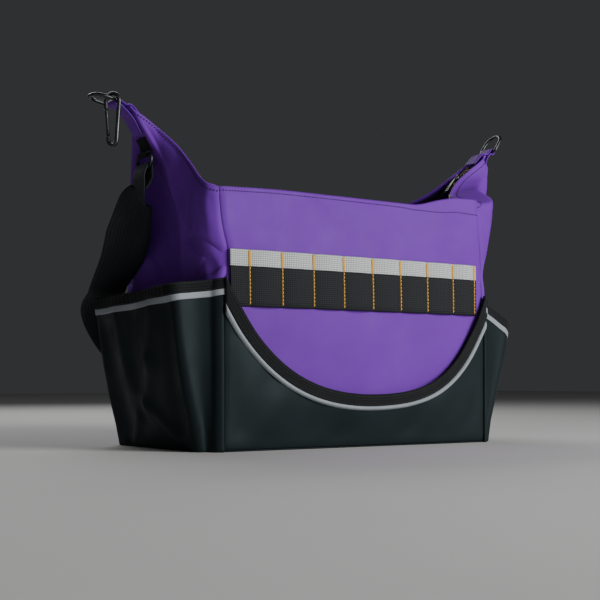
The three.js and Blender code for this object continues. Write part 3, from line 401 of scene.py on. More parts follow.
MOUTH = {side: mouth_curves(rows) for side, rows in MOUTH_ROWS.items()}
hem_height = column(HEM_HEIGHT, "share", "z")
hem_stitch = column(HEM_STITCH, "share", "below")


def dent(form, share, level):
    across = bell(share, form["share"], form["reach"])
    return form["size"] * bell(level, form["height"], form["spread"]) * across


def end_point(side, half, share, level):
    """A point of an end wall's outside; half is -1 on the front half and 1 on the back half."""
    mouth = MOUTH[side]
    share, level = np.broadcast_arrays(np.asarray(share, float), np.asarray(level, float))
    angle = np.pi / 2 * np.minimum(share / ARC_SHARE, 1)
    along = np.clip((share - ARC_SHARE) / (1 - ARC_SHARE), 0, 1)
    foot_out = BASE_CORNER * (np.sin(angle) - 1)
    foot_half = np.where(share < ARC_SHARE, END_HALF + BASE_CORNER * np.cos(angle), END_HALF * (1 - along))
    flare = level**FLARE_POWER
    free = ease(0, ARC_SHARE, share)
    folds = free * (dent(PUFF, share, level) - dent(CRUMPLE, share, level))
    folds = folds + dent(LOBE, share, level) - dent(CREASE, share, level)
    if side == "right":
        folds = folds + free * sum(dent(hang, share, level) for hang in RIGHT_HANG)
    elif half < 0:
        lean = SEAM_LEAN["size"] * bell(level, SEAM_LEAN["height"], SEAM_LEAN["spread"])
        folds = folds - lean * (1 - ease(0, SEAM_LEAN["fade"], share))
    out = mix(foot_out, mouth["out"](share), flare) + folds
    depth = mix(foot_half, mouth["half"](share), flare)
    z = mix(WALL_FOOT, mouth["z"](share), level)
    dying = 1 - ease(EAR_FOLD_END, 1, level)
    for fold in EAR_FOLDS[side]:
        across = bell(half * (1 - share), fold["place"], fold["reach"])
        full = free * across * bell(level, fold["height"], fold["spread"]) * dying
        out = out + fold["size"] * full
        z = z + fold["lift"] * full
    return np.stack([SIGN[side] * (HALF_LENGTH + out), half * depth, z], -1)


def face_point(half, share, level):
    """A point of the front wall (half -1) or the back wall (half 1); share runs from left to right."""
    share, level = np.broadcast_arrays(np.asarray(share, float), np.asarray(level, float))
    left, right = (end_point(side, half, np.zeros_like(share), level) for side in SIGN)
    swell = BELLY * np.sin(np.pi * level) * (1 - (2 * share - 1) ** 2)
    depth = mix(HALF_DEPTH, TOP_HALF_DEPTH, level**FLARE_POWER) + swell
    x = mix(left[..., 0], right[..., 0], share)
    z = mix(WALL_FOOT, hem_height(share), level)
    return np.stack([x, half * depth, z], -1)


def shell_point(turn, level):
    """The whole outside, once round the bag: 0 to 1 front, 1 to 2 right end, 2 to 3 back, 3 to 4 left end."""
    t = turn % 4
    if t <= 1:
        return face_point(-1, t, level)
    if 2 < t <= 3:
        return face_point(1, 3 - t, level)
    side = "right" if t <= 2 else "left"
    across = 2 * (t - 1) - 1 if side == "right" else 1 - 2 * (t - 3)
    return end_point(side, 1 if across >= 0 else -1, 1 - abs(across), level)


def shell_normal(turn, level):
    around = shell_point(turn + NORMAL_STEP, level) - shell_point(turn - NORMAL_STEP, level)
    up = shell_point(turn, min(level + NORMAL_STEP, 1)) - shell_point(turn, max(level - NORMAL_STEP, 0))
    return unit(np.cross(around, up))


def front_depth(x, z):
    share = np.clip((x + FRONT_HALF) / (2 * FRONT_HALF), 0, 1)
    level = np.clip((z - WALL_FOOT) / (hem_height(share) - WALL_FOOT), 0, 1)
    return -face_point(-1, share, level)[..., 1]


# Mesh making: a shape is vertices in millimetres, faces and texture places in metres
def grid_normals(points):
    return unit(np.cross(np.gradient(points, axis=0), np.gradient(points, axis=1)))


def ring_faces(count, ring, closed):
    """Faces of a row of rings, closed to a loop or open at both ends."""
    i = np.arange(count if closed else count - 1)[:, None]
    j = np.arange(ring)[None, :]
    here, ahead = i * ring, (i + 1) % count * ring
    beside = (j + 1) % ring
    return np.stack([here + j, ahead + j, ahead + beside, here + beside], -1).reshape(-1, 4).tolist()


def capped_faces(count, ring):
    """Faces of a row of rings with a cap at each end."""
    first = list(range(ring))
    last = [(count - 1) * ring + j for j in first]
    return [*ring_faces(count, ring, False), first[::-1], last]


def texture_grid(along, across):
    return np.stack(np.broadcast_arrays(along[:, None], across[None, :]), -1).reshape(-1, 2)


def sheet_shape(outer, inner, closed=False):
    """Closed cloth between two grids of points, with rounded edges along its two long sides."""
    thick = np.linalg.norm(outer - inner, axis=-1, keepdims=True)
    middle = (outer + inner) / 2
    top = middle[:, -1] + unit(middle[:, -1] - middle[:, -2]) * thick[:, -1] / 2
    foot = middle[:, 0] + unit(middle[:, 0] - middle[:, 1]) * thick[:, 0] / 2
    rings = np.concatenate([outer, top[:, None], inner[:, ::-1], foot[:, None]], axis=1)
    count, ring = rings.shape[:2]
    rows = outer.shape[1]
    along = path_length(middle[:, rows // 2]) * MM
    across = path_length(middle[count // 2]) * MM
    uv = texture_grid(along, np.concatenate([across, across[-1:], across[::-1], across[:1]]))
    faces = ring_faces(count, ring, closed)
    if not closed:
        for end, flip in ((0, False), (count - 1, True)):
            at = end * ring
            for j in range(rows - 1):
                quad = (at + j, at + j + 1, at + 2 * rows - 1 - j, at + 2 * rows - j)
                faces.append(quad[::-1] if flip else quad)
            tips = [(at + rows - 1, at + rows, at + rows + 1), (at, at + 2 * rows, at + 2 * rows + 1)]
            faces.extend(tip[::-1] if flip else tip for tip in tips)
    return rings.reshape(-1, 3), faces, uv


def ribbon_shape(centre, wide, face, half, thick, rows):
    """Flat strip along a path."""
    half = np.broadcast_to(np.asarray(half, float), (len(centre),))
    across = centre[:, None] + wide[:, None] * (half[:, None] * np.linspace(-1, 1, rows))[..., None]
    lift = face[:, None] * thick / 2
    return sheet_shape(across + lift, across - lift)


def tube_shape(points, radius, sides, closed=False):
    """Round wire along a path."""
    points = np.asarray(points, dtype=float)
    if closed:
        tangent = unit(np.roll(points, -1, axis=0) - np.roll(points, 1, axis=0))
    else:
        tangent = unit(np.gradient(points, axis=0))
    helper = HELPER if abs(tangent[0] @ HELPER) < NEARLY_ALONG else np.eye(3)[0]
    side = np.empty_like(points)
    side[0] = unit(np.cross(tangent[0], helper))
    for i in range(1, len(points)):
        side[i] = unit(side[i - 1] - tangent[i] * (side[i - 1] @ tangent[i]))
    other = np.cross(tangent, side)
    angle = np.linspace(0, 2 * np.pi, sides, endpoint=False)
    radius = np.broadcast_to(np.asarray(radius, float), (len(points),))
    ring = np.cos(angle)[None, :, None] * side[:, None] + np.sin(angle)[None, :, None] * other[:, None]
    rings = points[:, None] + ring * radius[:, None, None]
    if closed:
        twist = np.argmax(ring[-1] @ side[0])
        rings[-1] = np.roll(rings[-1], -twist, axis=0)
    faces = ring_faces(len(points), sides, True) if closed else capped_faces(len(points), sides)
    uv = texture_grid(path_length(points) * MM, angle * float(radius.max()) * MM)
    return rings.reshape(-1, 3), faces, uv


def merged(shapes):
    vertices, faces, places = [], [], []
    start = 0
    for points, quads, uv in shapes:
        vertices.append(points)
        places.append(uv)
        faces.extend([i + start for i in face] for face in quads)
        start += len(points)
    return np.concatenate(vertices), faces, np.concatenate(places)


def stitch_shape(path, face, length, space, radius, lift):
    """A row of sewn stitches along a path that lies on the cloth."""
    total = path_length(path)[-1]
    count = max(int(total / (length + space)), 1)
    shapes = []
    for i in range(count):
        start = (i + STITCH_START) * total / count
        place, up = along_path(path, face, start + np.linspace(0, length, len(STITCH_RISE)))
        place = place + unit(up) * (lift + radius * STITCH_RISE)[:, None]
        shapes.append(tube_shape(place, radius * STITCH_SWELL, THREAD_SIDES))
    return merged(shapes)


def front_stitch_shape(path, thread):
    return stitch_shape(path, np.broadcast_to(FORWARD, path.shape), **thread)


def rounded_outline(length, wide_end, narrow_end, corner, steps=CORNER_STEPS):
    """Outline of a tapered plate with rounded corners, its long axis along the first coordinate."""
    points = []
    corners = ((1, 1, narrow_end), (-1, 1, wide_end), (-1, -1, wide_end), (1, -1, narrow_end))
    for quarter, (sx, sy, half) in enumerate(corners):
        centre = np.array([sx * (length / 2 - corner), sy * (half - corner)])
        a = np.pi / 2 * (quarter + np.linspace(0, 1, steps))
        points.append(centre + corner * np.stack([np.cos(a), np.sin(a)], -1))
    return np.concatenate(points)


def plate_shape(outline, low, high, along, side, up, origin):
    """A flat plate with softened edges from an outline in its own plane."""
    inset = outline * (1 - PLATE_EDGE / np.abs(outline).max())
    levels = [(low, inset), (low + PLATE_EDGE, outline), (high - PLATE_EDGE, outline), (high, inset)]
    rings = [origin + ring[:, :1] * along + ring[:, 1:] * side + lift * up for lift, ring in levels]
    uv = np.tile(outline * MM, (len(levels), 1))
    return np.concatenate(rings), capped_faces(len(levels), len(outline)), uv


# Pieces: a mesh object with its material; each finish also names a slot, which is not used here
def add_object(name, data):
    thing = bpy.data.objects.new(name, data)
    bpy.context.scene.collection.objects.link(thing)
    return thing


def add_piece(name, shape, finish, body="bag", stands_for=None, smooth=True):
    """A mesh object from a shape, riding on a body of the frame."""
    points, faces, uv = shape
    material, slot = finish
    mesh = bpy.data.meshes.new(name)
    mesh.from_pydata((np.asarray(points) * MM).tolist(), [], [list(f) for f in faces])
    mesh.validate()
    loops = np.empty(len(mesh.loops), dtype=np.int32)
    mesh.loops.foreach_get("vertex_index", loops)
    layer = mesh.uv_layers.new(name=UV_NAME)
    layer.data.foreach_set("uv", np.asarray(uv)[loops].astype(np.float32).ravel())
    mesh.polygons.foreach_set("use_smooth", np.full(len(mesh.polygons), smooth))
    mesh.materials.append(material)
    mesh.update()
    piece = add_object(name, mesh)
    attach(piece, body)
    if stands_for:
        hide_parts(stands_for)
    return piece


def dress(node, part, shape, finish, **options):
    """A piece that takes the place of one solid of the frame."""
    return add_piece(f"{node}_{part}", shape, finish, stands_for=node, **options)


# Materials
class Paint:
    """A procedural material, with short ways to add nodes to it; a value may be another node's output."""

    def __init__(self, name, colour, roughness, metallic=0.0):
        self.material = bpy.data.materials.new(name)
        self.material.use_nodes = True
        self.tree = self.material.node_tree
        self.shader = self.tree.nodes["Principled BSDF"]
        self.set("Base Color", (*colour, 1))
        self.set("Roughness", roughness)
        self.set("Metallic", metallic)

    def set(self, socket, value):
        self.feed(self.shader.inputs[socket], value)

    def feed(self, socket, value):
        if isinstance(value, bpy.types.NodeSocket):
            self.tree.links.new(value, socket)
        else:
            socket.default_value = value

    def node(self, kind, inputs, **settings):
        node = self.tree.nodes.new(kind)
        for key, setting in settings.items():
            setattr(node, key, setting)
        for key, value in inputs.items():
            self.feed(node.inputs[key], value)
        return node

    def math(self, operation, first, second):
        return self.node("ShaderNodeMath", {0: first, 1: second}, operation=operation).outputs[0]

    def cloth_axes(self):
        """Distances along and across a piece of cloth, in millimetres."""
        place = self.node("ShaderNodeUVMap", {}, uv_map=UV_NAME).outputs["UV"]
        split = self.node("ShaderNodeSeparateXYZ", {0: place})
        return [self.math("MULTIPLY", split.outputs[axis], 1 / MM) for axis in "XY"]

    def wave(self, distance, pitch):
        turns = self.math("MULTIPLY", distance, 2 * np.pi / pitch)
        return self.node("ShaderNodeMath", {0: turns}, operation="SINE").outputs[0]

    def noise(self, scale, detail):
        place = self.node("ShaderNodeTexCoord", {}).outputs["Object"]
        inputs = {"Vector": place, "Scale": scale, "Detail": detail, "Roughness": 0.55}
        return self.node("ShaderNodeTexNoise", inputs).outputs["Fac"]

    def fit(self, value, low, high, start=0.3, stop=0.7):
        """A value between start and stop, spread from low to high."""
        inputs = {"Value": value, "From Min": start, "From Max": stop, "To Min": low, "To Max": high}
        return self.node("ShaderNodeMapRange", inputs).outputs["Result"]

    def colours(self, factor, first, second):
        """Base colour between two colours; the mixer's colour sockets are known by number."""
        inputs = {0: factor, 6: (*first, 1), 7: (*second, 1)}
        self.set("Base Color", self.node("ShaderNodeMix", inputs, data_type="RGBA").outputs[2])

    def bump(self, height, strength, distance, under=None):
        inputs = {"Strength": strength, "Distance": distance, "Height": height}
        if under is not None:
            inputs["Normal"] = under
        normal = self.node("ShaderNodeBump", inputs).outputs["Normal"]
        self.set("Normal", normal)
        return normal


def coated_cloth(name, colour, worn, roughness, gloss, tint):
    """PVC-coated cloth: a fine weave under the coat, soft mottling and rubbed patches."""
    paint = Paint(name, colour, roughness)
    paint.colours(paint.fit(paint.noise(scale=9, detail=4), 0, 1), colour, worn)
    rubbed = paint.noise(scale=26, detail=5)
    paint.set("Roughness", paint.fit(rubbed, low=roughness - 0.08, high=roughness + 0.1))
    along, across = paint.cloth_axes()
    weave = paint.math("MULTIPLY", paint.wave(along, pitch=1.1), paint.wave(across, pitch=1.1))
    fine = paint.bump(weave, strength=0.12, distance=0.0002)
    paint.bump(paint.noise(scale=60, detail=4), strength=0.1, distance=0.0012, under=fine)
    paint.set("Specular IOR Level", gloss)
    paint.set("Specular Tint", (*tint, 1))
    return paint.material


def woven_tape(name, colour, light, pitch_along, pitch_across, depth):
    """Woven webbing: rounded yarns that pass over and under each other, with painted light on the raised
    yarns and painted shade in the hollows between them.
    """
    paint = Paint(name, colour, roughness=0.75)
    along, across = paint.cloth_axes()
    yarn = paint.math("MULTIPLY", paint.wave(across, pitch_across), paint.wave(along, pitch_along))
    rib_share = 0.6
    ribs = paint.math("MULTIPLY", paint.wave(across, 2 * pitch_across), rib_share)
    height = paint.math("ADD", yarn, ribs)
    # Painted light and shade: the colour runs from the dark colour in the hollows to the lighter one on the
    # raised yarns, following the bump's height.
    tone = paint.fit(height, 0, 1, start=-1.2, stop=1.4)
    dust = paint.fit(paint.noise(scale=40, detail=4), low=0.75, high=1.0)
    paint.colours(paint.math("MULTIPLY", tone, dust), colour, light)
    paint.bump(height, strength=0.5, distance=depth)
    paint.set("Sheen Weight", 0.06)
    paint.set("Specular IOR Level", 0.15)
    return paint.material


def reflective_tape(name, colour, dark, pitch):
    """Grey reflective tape: a fine square grid pressed into a smooth face."""
    paint = Paint(name, colour, roughness=0.45)
    along, across = paint.cloth_axes()
    grid = paint.math("MAXIMUM", paint.wave(along, pitch), paint.wave(across, pitch))
    tone = paint.fit(grid, 0, 1, start=0.2, stop=1.0)
    rubbed = paint.fit(paint.noise(scale=30, detail=5), low=0.35, high=1.0)
    paint.colours(paint.math("MULTIPLY", tone, rubbed), dark, colour)
    paint.bump(grid, strength=0.35, distance=0.00025)
    return paint.material


def cell_weave(name, cell, line, pitch, roughness):
    """Open woven band: square cells of yarn with lines between them."""
    paint = Paint(name, cell, roughness)
    along, across = paint.cloth_axes()
    cells = paint.math("MINIMUM", paint.wave(along, pitch), paint.wave(across, pitch))
    tone = paint.fit(cells, 0, 1, start=-0.6, stop=0.5)
    dust = paint.fit(paint.noise(scale=40, detail=4), low=0.85, high=1.0)
    paint.colours(paint.math("MULTIPLY", tone, dust), line, cell)
    paint.bump(cells, strength=0.5, distance=0.0004)
    paint.set("Specular IOR Level", 0.15)
    return paint.material


def sewing_thread(name, colour, dark):
    """Twisted thread, with painted shade between its strands."""
    paint = Paint(name, colour, roughness=0.6)
    twist = paint.wave(paint.math("ADD", *paint.cloth_axes()), pitch=0.9)
    # Painted shade: the colour darkens to the dark one in the grooves between the strands, following the
    # twist's bump.
    paint.colours(paint.fit(twist, 0, 1, start=-0.8, stop=0.8), dark, colour)
    paint.bump(twist, strength=0.4, distance=0.0001)
    return paint.material


def plated_metal(name, colour, dull, roughness):
    """Plated wire: worn lighter in patches, with a slightly uneven face."""
    paint = Paint(name, colour, roughness, metallic=1.0)
    paint.colours(paint.fit(paint.noise(scale=55, detail=6), 0, 1, start=0.35), dull, colour)
    rubbed = paint.noise(scale=90, detail=3)
    paint.set("Roughness", paint.fit(rubbed, low=roughness - 0.06, high=roughness + 0.1))
    paint.bump(paint.noise(scale=45, detail=2), strength=0.02, distance=0.0002)
    return paint.material


def moulded_plastic(name, colour, light, roughness):
    """Moulded plastic with a fine grain."""
    paint = Paint(name, colour, roughness)
    paint.colours(paint.fit(paint.noise(scale=70, detail=4), 0, 1), colour, light)
    paint.bump(paint.noise(scale=900, detail=2), strength=0.15, distance=0.0002)
    return paint.material


def plain_floor(name, colour):
    paint = Paint(name, colour, roughness=0.8)
    lighter = tuple(min(c * FLOOR["lighter"], 1) for c in colour)
    paint.colours(paint.fit(paint.noise(scale=3, detail=4), 0, 1), colour, lighter)
    return paint.material


def finishes(make, columns, *rows):
    """Finishes of one kind, from a table that gives the slot of each and what its material is made with."""
    made = []
    for row in table(columns, *rows):
        slot = row.pop("slot")
        made.append((make(**row), slot))
    return made


PURPLE, BLACK = finishes(
    coated_cloth,
    "name slot roughness gloss tint colour worn",
    ("purple_pvc", "purple_pvc", 0.52, 0.14, (0.85, 0.7, 1), (0.165, 0.033, 0.4), (0.19, 0.042, 0.46)),
    ("black_pvc", "black_pvc", 0.48, 0.15, (0.75, 0.95, 1), (0.01, 0.0148, 0.0168), (0.0135, 0.0195, 0.022)),
)
# Each webbing goes from its colour in the hollows to its lighter colour on the raised yarns, which is painted
# light.
WEBBING, TAPE = finishes(
    woven_tape,
    "name slot pitch_along pitch_across depth colour light",
    ("black_webbing", "black_webbing", 3.2, 2.0, 0.0006, (0.018, 0.022, 0.024), (0.06, 0.07, 0.076)),
    ("black_tape", "black_webbing", 2.6, 1.9, 0.0004, (0.003, 0.0033, 0.0036), (0.022, 0.024, 0.026)),
)
BLACK_BAND, GREY_BAND_WEAVE = finishes(
    cell_weave,
    "name slot pitch roughness cell line",
    ("black_band", "black_webbing", 2.6, 0.65, (0.0025, 0.0028, 0.0033), (0.025, 0.027, 0.031)),
    ("grey_band", "grey_reflective", 2.6, 0.6, (0.95, 0.98, 0.95), (0.38, 0.4, 0.4)),
)
[GREY_STRIP] = finishes(
    reflective_tape,
    "name slot pitch colour dark",
    ("grey_strip", "grey_reflective", 1.0, (0.44, 0.49, 0.53), (0.25, 0.28, 0.31)),
)
# The dark colour of each thread is painted shade between its strands.
PURPLE_THREAD, BLACK_THREAD, ORANGE_THREAD = finishes(
    sewing_thread,
    "name slot colour dark",
    ("purple_thread", "purple_pvc", (0.022, 0.006, 0.06), (0.01, 0.003, 0.028)),
    ("black_thread", "black_webbing", (0.035, 0.037, 0.04), (0.01, 0.01, 0.01)),
    ("orange_thread", "black_webbing", (0.98, 0.56, 0.07), (0.78, 0.37, 0.025)),
)
GUNMETAL, STEEL, BRASS = finishes(
    plated_metal,
    "name slot roughness colour dull",
    ("gunmetal", "dark_metal", 0.36, (0.09, 0.095, 0.1), (0.05, 0.053, 0.056)),
    ("steel_wire", "steel", 0.36, (0.13, 0.133, 0.138), (0.075, 0.077, 0.081)),
    ("zip_brass", "brass", 0.35, (0.5, 0.37, 0.2), (0.3, 0.21, 0.1)),
)
[RUBBER] = finishes(
    moulded_plastic,
    "name slot roughness colour light",
    ("black_plastic", "black_plastic", 0.5, (0.012, 0.012, 0.013), (0.024, 0.024, 0.026)),
)


# Walls
def ripples(rows, across, up):
    turns = [(across / row["across"] + up / row["up"], row) for row in rows]
    return sum(row["size"] * np.sin(2 * np.pi * turn + row["phase"]) for turn, row in turns)


def line_folds(rows, across, z, tapered):
    """Folds that follow lines over a wall, full all along or tapered towards their ends."""
    total = 0
    for row in rows:
        start = np.array([row["from_across"], row["from_z"]], float)
        way = np.array([row["to_across"], row["to_z"]], float) - start
        place = np.stack([across, z], -1) - start
        t = np.clip(place @ way / (way @ way), 0, 1)
        gap = np.linalg.norm(place - t[..., None] * way, axis=-1)
        full = np.sin(np.pi * np.clip(t, *TAPER)) if tapered else 1
        total = total + row["size"] * full * bell(gap, 0, row["width"])
    return total


def wall_relief(seam, below_rim, height, stitch):
    """Seams drawn in, a rolled hem stitched at a given distance and a tucked foot."""
    sewn = -SEAM["depth"] * bell(seam, 0, SEAM["width"])
    hem = HEM_ROLL["lift"] * ease(stitch + HEM_ROLL["soft"], stitch - HEM_ROLL["soft"], below_rim)
    groove = -HEM_ROLL["groove"] * bell(below_rim, stitch, HEM_ROLL["groove_width"])
    foot = -FOOT_TUCK["depth"] * bell(height, 0, FOOT_TUCK["width"])
    return sewn + hem + groove + foot


def rim_rows(count):
    """Levels from foot to rim, closer together near the hem."""
    return 1 - (1 - np.linspace(0, 1, count)) ** RIM_CLOSER


def wall_shape(points, offset):
    normals = grid_normals(points)
    outer = points + normals * offset[..., None]
    inner = points - normals * WALL
    inner[:, 0, 2] = outer[:, 0, 2]
    return sheet_shape(outer, inner), outer, normals


def face_wall(half):
    """The front or the back wall, with its outer points, its normals and its stitching's distance."""
    share = np.linspace(FACE_GRID["seam"], 1 - FACE_GRID["seam"], FACE_GRID["columns"])
    if half > 0:
        share = share[::-1]
    points = face_point(half, share[:, None], rim_rows(FACE_GRID["rows"])[None, :])
    z = points[..., 2]
    seam = np.minimum(share, 1 - share)[:, None] * 2 * FRONT_HALF
    below = hem_height(share)[:, None] - z
    stitch = hem_stitch(share)
    fade = ease(0, WALL_FADE["rim"], below) * ease(0, WALL_FADE["seam"], seam)
    offset = wall_relief(seam, below, z - WALL_FOOT, stitch[:, None])
    offset = offset + fade * ripples(WALL_RIPPLES, points[..., 0], z)
    return (*wall_shape(points, offset), stitch)


def end_wall(side):
    """An end wall, with the same as a face wall."""
    share = np.linspace(END_GRID["seam"], 1, END_GRID["columns"])
    levels = rim_rows(END_GRID["rows"])
    order = (-1, 1) if side == "right" else (1, -1)
    first, second = (end_point(side, half, share[:, None], levels[None, :]) for half in order)
    points = np.concatenate([first, second[-2::-1]])
    shares = np.concatenate([share, share[-2::-1]])
    is_front = points[..., 1] < 0
    z = points[..., 2]
    around = np.broadcast_to(shares[:, None] * END_ROUND, z.shape)
    below = MOUTH[side]["z"](shares)[:, None] - z
    stitch = np.full(len(shares), float(END_STITCH[side]))
    fade = ease(0, END_FADE["rim"], below) * ease(0, END_FADE["seam"], around)
    fade = fade * ease(END_FADE["foot"], END_FADE["full"], z)
    shown = np.where(is_front, CRUMPLED[side]["front"], CRUMPLED[side]["back"])
    creases = shown * line_folds(CRUMPLE_LINES, around, z, tapered=True)
    offset = wall_relief(around, below, z - WALL_FOOT, stitch[:, None])
    offset = offset + fade * ripples(END_RIPPLES, around + FRONT_SHIFT * is_front, z)
    offset = offset - creases * ease(0, END_FADE["crease"], below)
    return (*wall_shape(points, offset), stitch)


def hem_stitches(outer, normals, stitch):
    """Topstitching a given distance below a wall's rim."""
    places = [along_path(col[::-1], up[::-1], below) for col, up, below in zip(outer, normals, stitch)]
    path, face = (np.array(rows) for rows in zip(*places))
    return stitch_shape(path, face, **HEM_THREAD)


def build_walls():
    walls = {
        "front_panel": face_wall(-1),
        "back_panel": face_wall(1),
        "end_panel_left": end_wall("left"),
        "end_panel_right": end_wall("right"),
    }
    for name, (shape, outer, normals, stitch) in walls.items():
        cloth = dress(name, "cloth", shape, PURPLE)
        thread = add_piece(f"{name}_stitches", hem_stitches(outer, normals, stitch), PURPLE_THREAD)


def build_base():
    outline = rounded_outline(2 * HALF_LENGTH, HALF_DEPTH, HALF_DEPTH, BASE_CORNER, BASE_CORNER_STEPS)
    plan = outline[:, None] * values(BASE_RINGS, "share")[None, :, None]
    drop = np.broadcast_to(values(BASE_RINGS, "drop")[None, :, None], (*plan.shape[:2], 1))
    low, high = (np.concatenate([plan, z], -1) for z in (drop, BASE_THICK - drop))
    cloth = dress("base_panel", "cloth", sheet_shape(high, low, closed=True), BLACK)


# Front pocket
def scoop_height(x):
    """Height of the pocket's free edge."""
    from_middle = np.asarray(x, dtype=float) - SCOOP["middle"]
    is_left = from_middle < 0
    share = from_middle / (POCKET["half_width"] + np.where(is_left, 1, -1) * SCOOP["middle"])
    square, fourth = (np.where(is_left, SCOOP_LEFT[key], SCOOP_RIGHT[key]) for key in ("square", "fourth"))
    return SCOOP["low"] + square * share**2 + fourth * share**4


def below_scoop(x, distance):
    """Height of a line that runs a given distance below the free edge."""
    slope = (scoop_height(x + SLOPE_STEP) - scoop_height(x - SLOPE_STEP)) / (2 * SLOPE_STEP)
    return scoop_height(x) - distance * np.sqrt(1 + slope * slope)


def pocket_gap(x, z):
    across = np.maximum(1 - (x / POCKET["half_width"]) ** 2, 0)
    over = OVER_BAND["lift"] * ease(OVER_BAND["start"], OVER_BAND["stop"], z)
    return POCKET["seam_gap"] + over + POCKET["slack"] * across * ease(0, POCKET["full_at"], z)


def on_front(x, z, lift):
    """A place over the front pocket's face."""
    face = front_depth(x, z) + pocket_gap(x, z) + POCKET["thick"]
    return np.stack(np.broadcast_arrays(x, -(face + lift), z), -1)


def pocket_columns():
    return np.linspace(-POCKET["edge"], POCKET["edge"], POCKET_GRID["columns"])


def front_tape(low, high, thick, crown):
    """A tape on the pocket's face between two distances below its scooped edge."""
    x = pocket_columns()
    t = np.linspace(0, 1, POCKET_GRID["tape_rows"])
    z = mix(below_scoop(x, low)[:, None], below_scoop(x, high)[:, None], t[None, :])
    lift = crown * (1 - (2 * t - 1) ** 2)[None, :]
    xx = np.broadcast_to(x[:, None], z.shape)
    outer = on_front(xx, z, BINDING["gap"] + thick + lift)
    inner = on_front(xx, z, BINDING["gap"] + lift * CROWN_UNDER)
    return sheet_shape(outer, inner)


def front_pocket_shape():
    x = pocket_columns()
    t = np.linspace(0, 1, POCKET_GRID["rows"])
    z = mix(POCKET["foot"], scoop_height(x)[:, None], t[None, :])
    xx = np.broadcast_to(x[:, None], z.shape)
    edge = POCKET["edge"] - np.abs(xx)
    soft = POCKET_RIPPLE
    below = scoop_height(xx) - z
    fade = ease(0, soft["edge"], edge) * ease(0, soft["foot"], z) * ease(0, soft["mouth"], below)
    relief = fade * ripples(WALL_RIPPLES, xx * soft["across"], z * soft["up"]) * soft["size"]
    relief = relief - POCKET_TUCK["edge"] * bell(edge, 0, POCKET_TUCK["edge_width"])
    relief = relief - POCKET_TUCK["foot"] * bell(z, 0, POCKET_TUCK["foot_width"])
    return sheet_shape(on_front(xx, z, relief), on_front(xx, z, relief - POCKET["thick"]))


def binding_stitches(distance):
    reach = POCKET["half_width"] - BINDING_ROW["end"]
    x = np.linspace(-reach, reach, BINDING_ROW["steps"])
    lift = BINDING["gap"] + BINDING["thick"] + BINDING_ROW["lift"]
    return front_stitch_shape(on_front(x, below_scoop(x, distance), lift), THREAD)


def build_front_pocket():
    cloth = dress("front_pocket", "cloth", front_pocket_shape(), BLACK)
    binding = front_tape(BINDING["width"], -BINDING["over"], BINDING["thick"], BINDING["crown"])
    tape = dress("front_binding", "tape", binding, TAPE)
    top = BINDING["width"] + GAP
    piping = front_tape(top + PIPING["width"], top, PIPING["flat"], PIPING["thick"] - PIPING["flat"])
    cord = dress("front_piping", "cord", piping, GREY_STRIP)
    inset = BINDING_ROW["inset"]
    rows = [binding_stitches(distance) for distance in (inset, BINDING["width"] - inset)]
    thread = add_piece("front_binding_stitches", merged(rows), BLACK_THREAD)


# Woven bands
def band_lift(x):
    """Arch of the loops between the tacks."""
    places = np.array(TACK_PLACES)
    k = np.searchsorted(places, x, side="right")
    inside = (k > 0) & (k < len(places))
    left, right = (places[np.clip(i, 0, len(places) - 1)] for i in (k - 1, k))
    t = np.where(inside, (x - left) / np.maximum(right - left, TINY), 0)
    return BAND["lift"] * np.sin(np.pi * np.clip(t, 0, 1)) ** BAND["arch"]


def on_band(x, z, lift):
    """A place over the bands' face."""
    face = front_depth(x, z) + BAND["gap"] + band_lift(x) + BAND["thick"]
    return np.stack([x, -(face + lift), z], -1)


def band_shape(band):
    stops = [BAND["left"], *TACK_PLACES, BAND["right"]]
    loops = [np.linspace(a, b, BAND["steps"], endpoint=False) for a, b in zip(stops, stops[1:])]
    x = np.concatenate([*loops, [BAND["right"]]])
    z = np.linspace(band["low"], band["high"], BAND["rows"])
    xx, zz = np.meshgrid(x, z, indexing="ij")
    return sheet_shape(on_band(xx, zz, 0), on_band(xx, zz, -BAND["thick"]))


def tack_shape(x):
    """A bar tack across both bands."""
    z = np.arange(GREY_BAND["low"] + SATIN["end"], GREY_BAND["high"] - SATIN["end"], SATIN["step"])
    zigzag = x + SATIN["half_width"] * np.where(np.arange(len(z)) % 2, 1, -1)
    path = smooth_path(on_band(zigzag, z, SATIN["lift"]), SATIN["smooth"])
    satin = tube_shape(path, SATIN["radius"], THREAD_SIDES)
    low, high = TOOL_BAND["low"] + HEAVY_ROW["foot"], TOOL_BAND["high"] - HEAVY_ROW["top"]
    z = np.linspace(low, high, HEAVY_ROW["points"])
    row = front_stitch_shape(on_band(np.full_like(z, x), z, 0), HEAVY)
    return merged([satin, row])


def build_bands():
    dark = dress("tool_webbing", "band", band_shape(TOOL_BAND), BLACK_BAND)
    grey = dress("reflective_webbing", "band", band_shape(GREY_BAND), GREY_BAND_WEAVE)
    thread = add_piece("bar_tacks", merged([tack_shape(x) for x in TACK_PLACES]), ORANGE_THREAD)


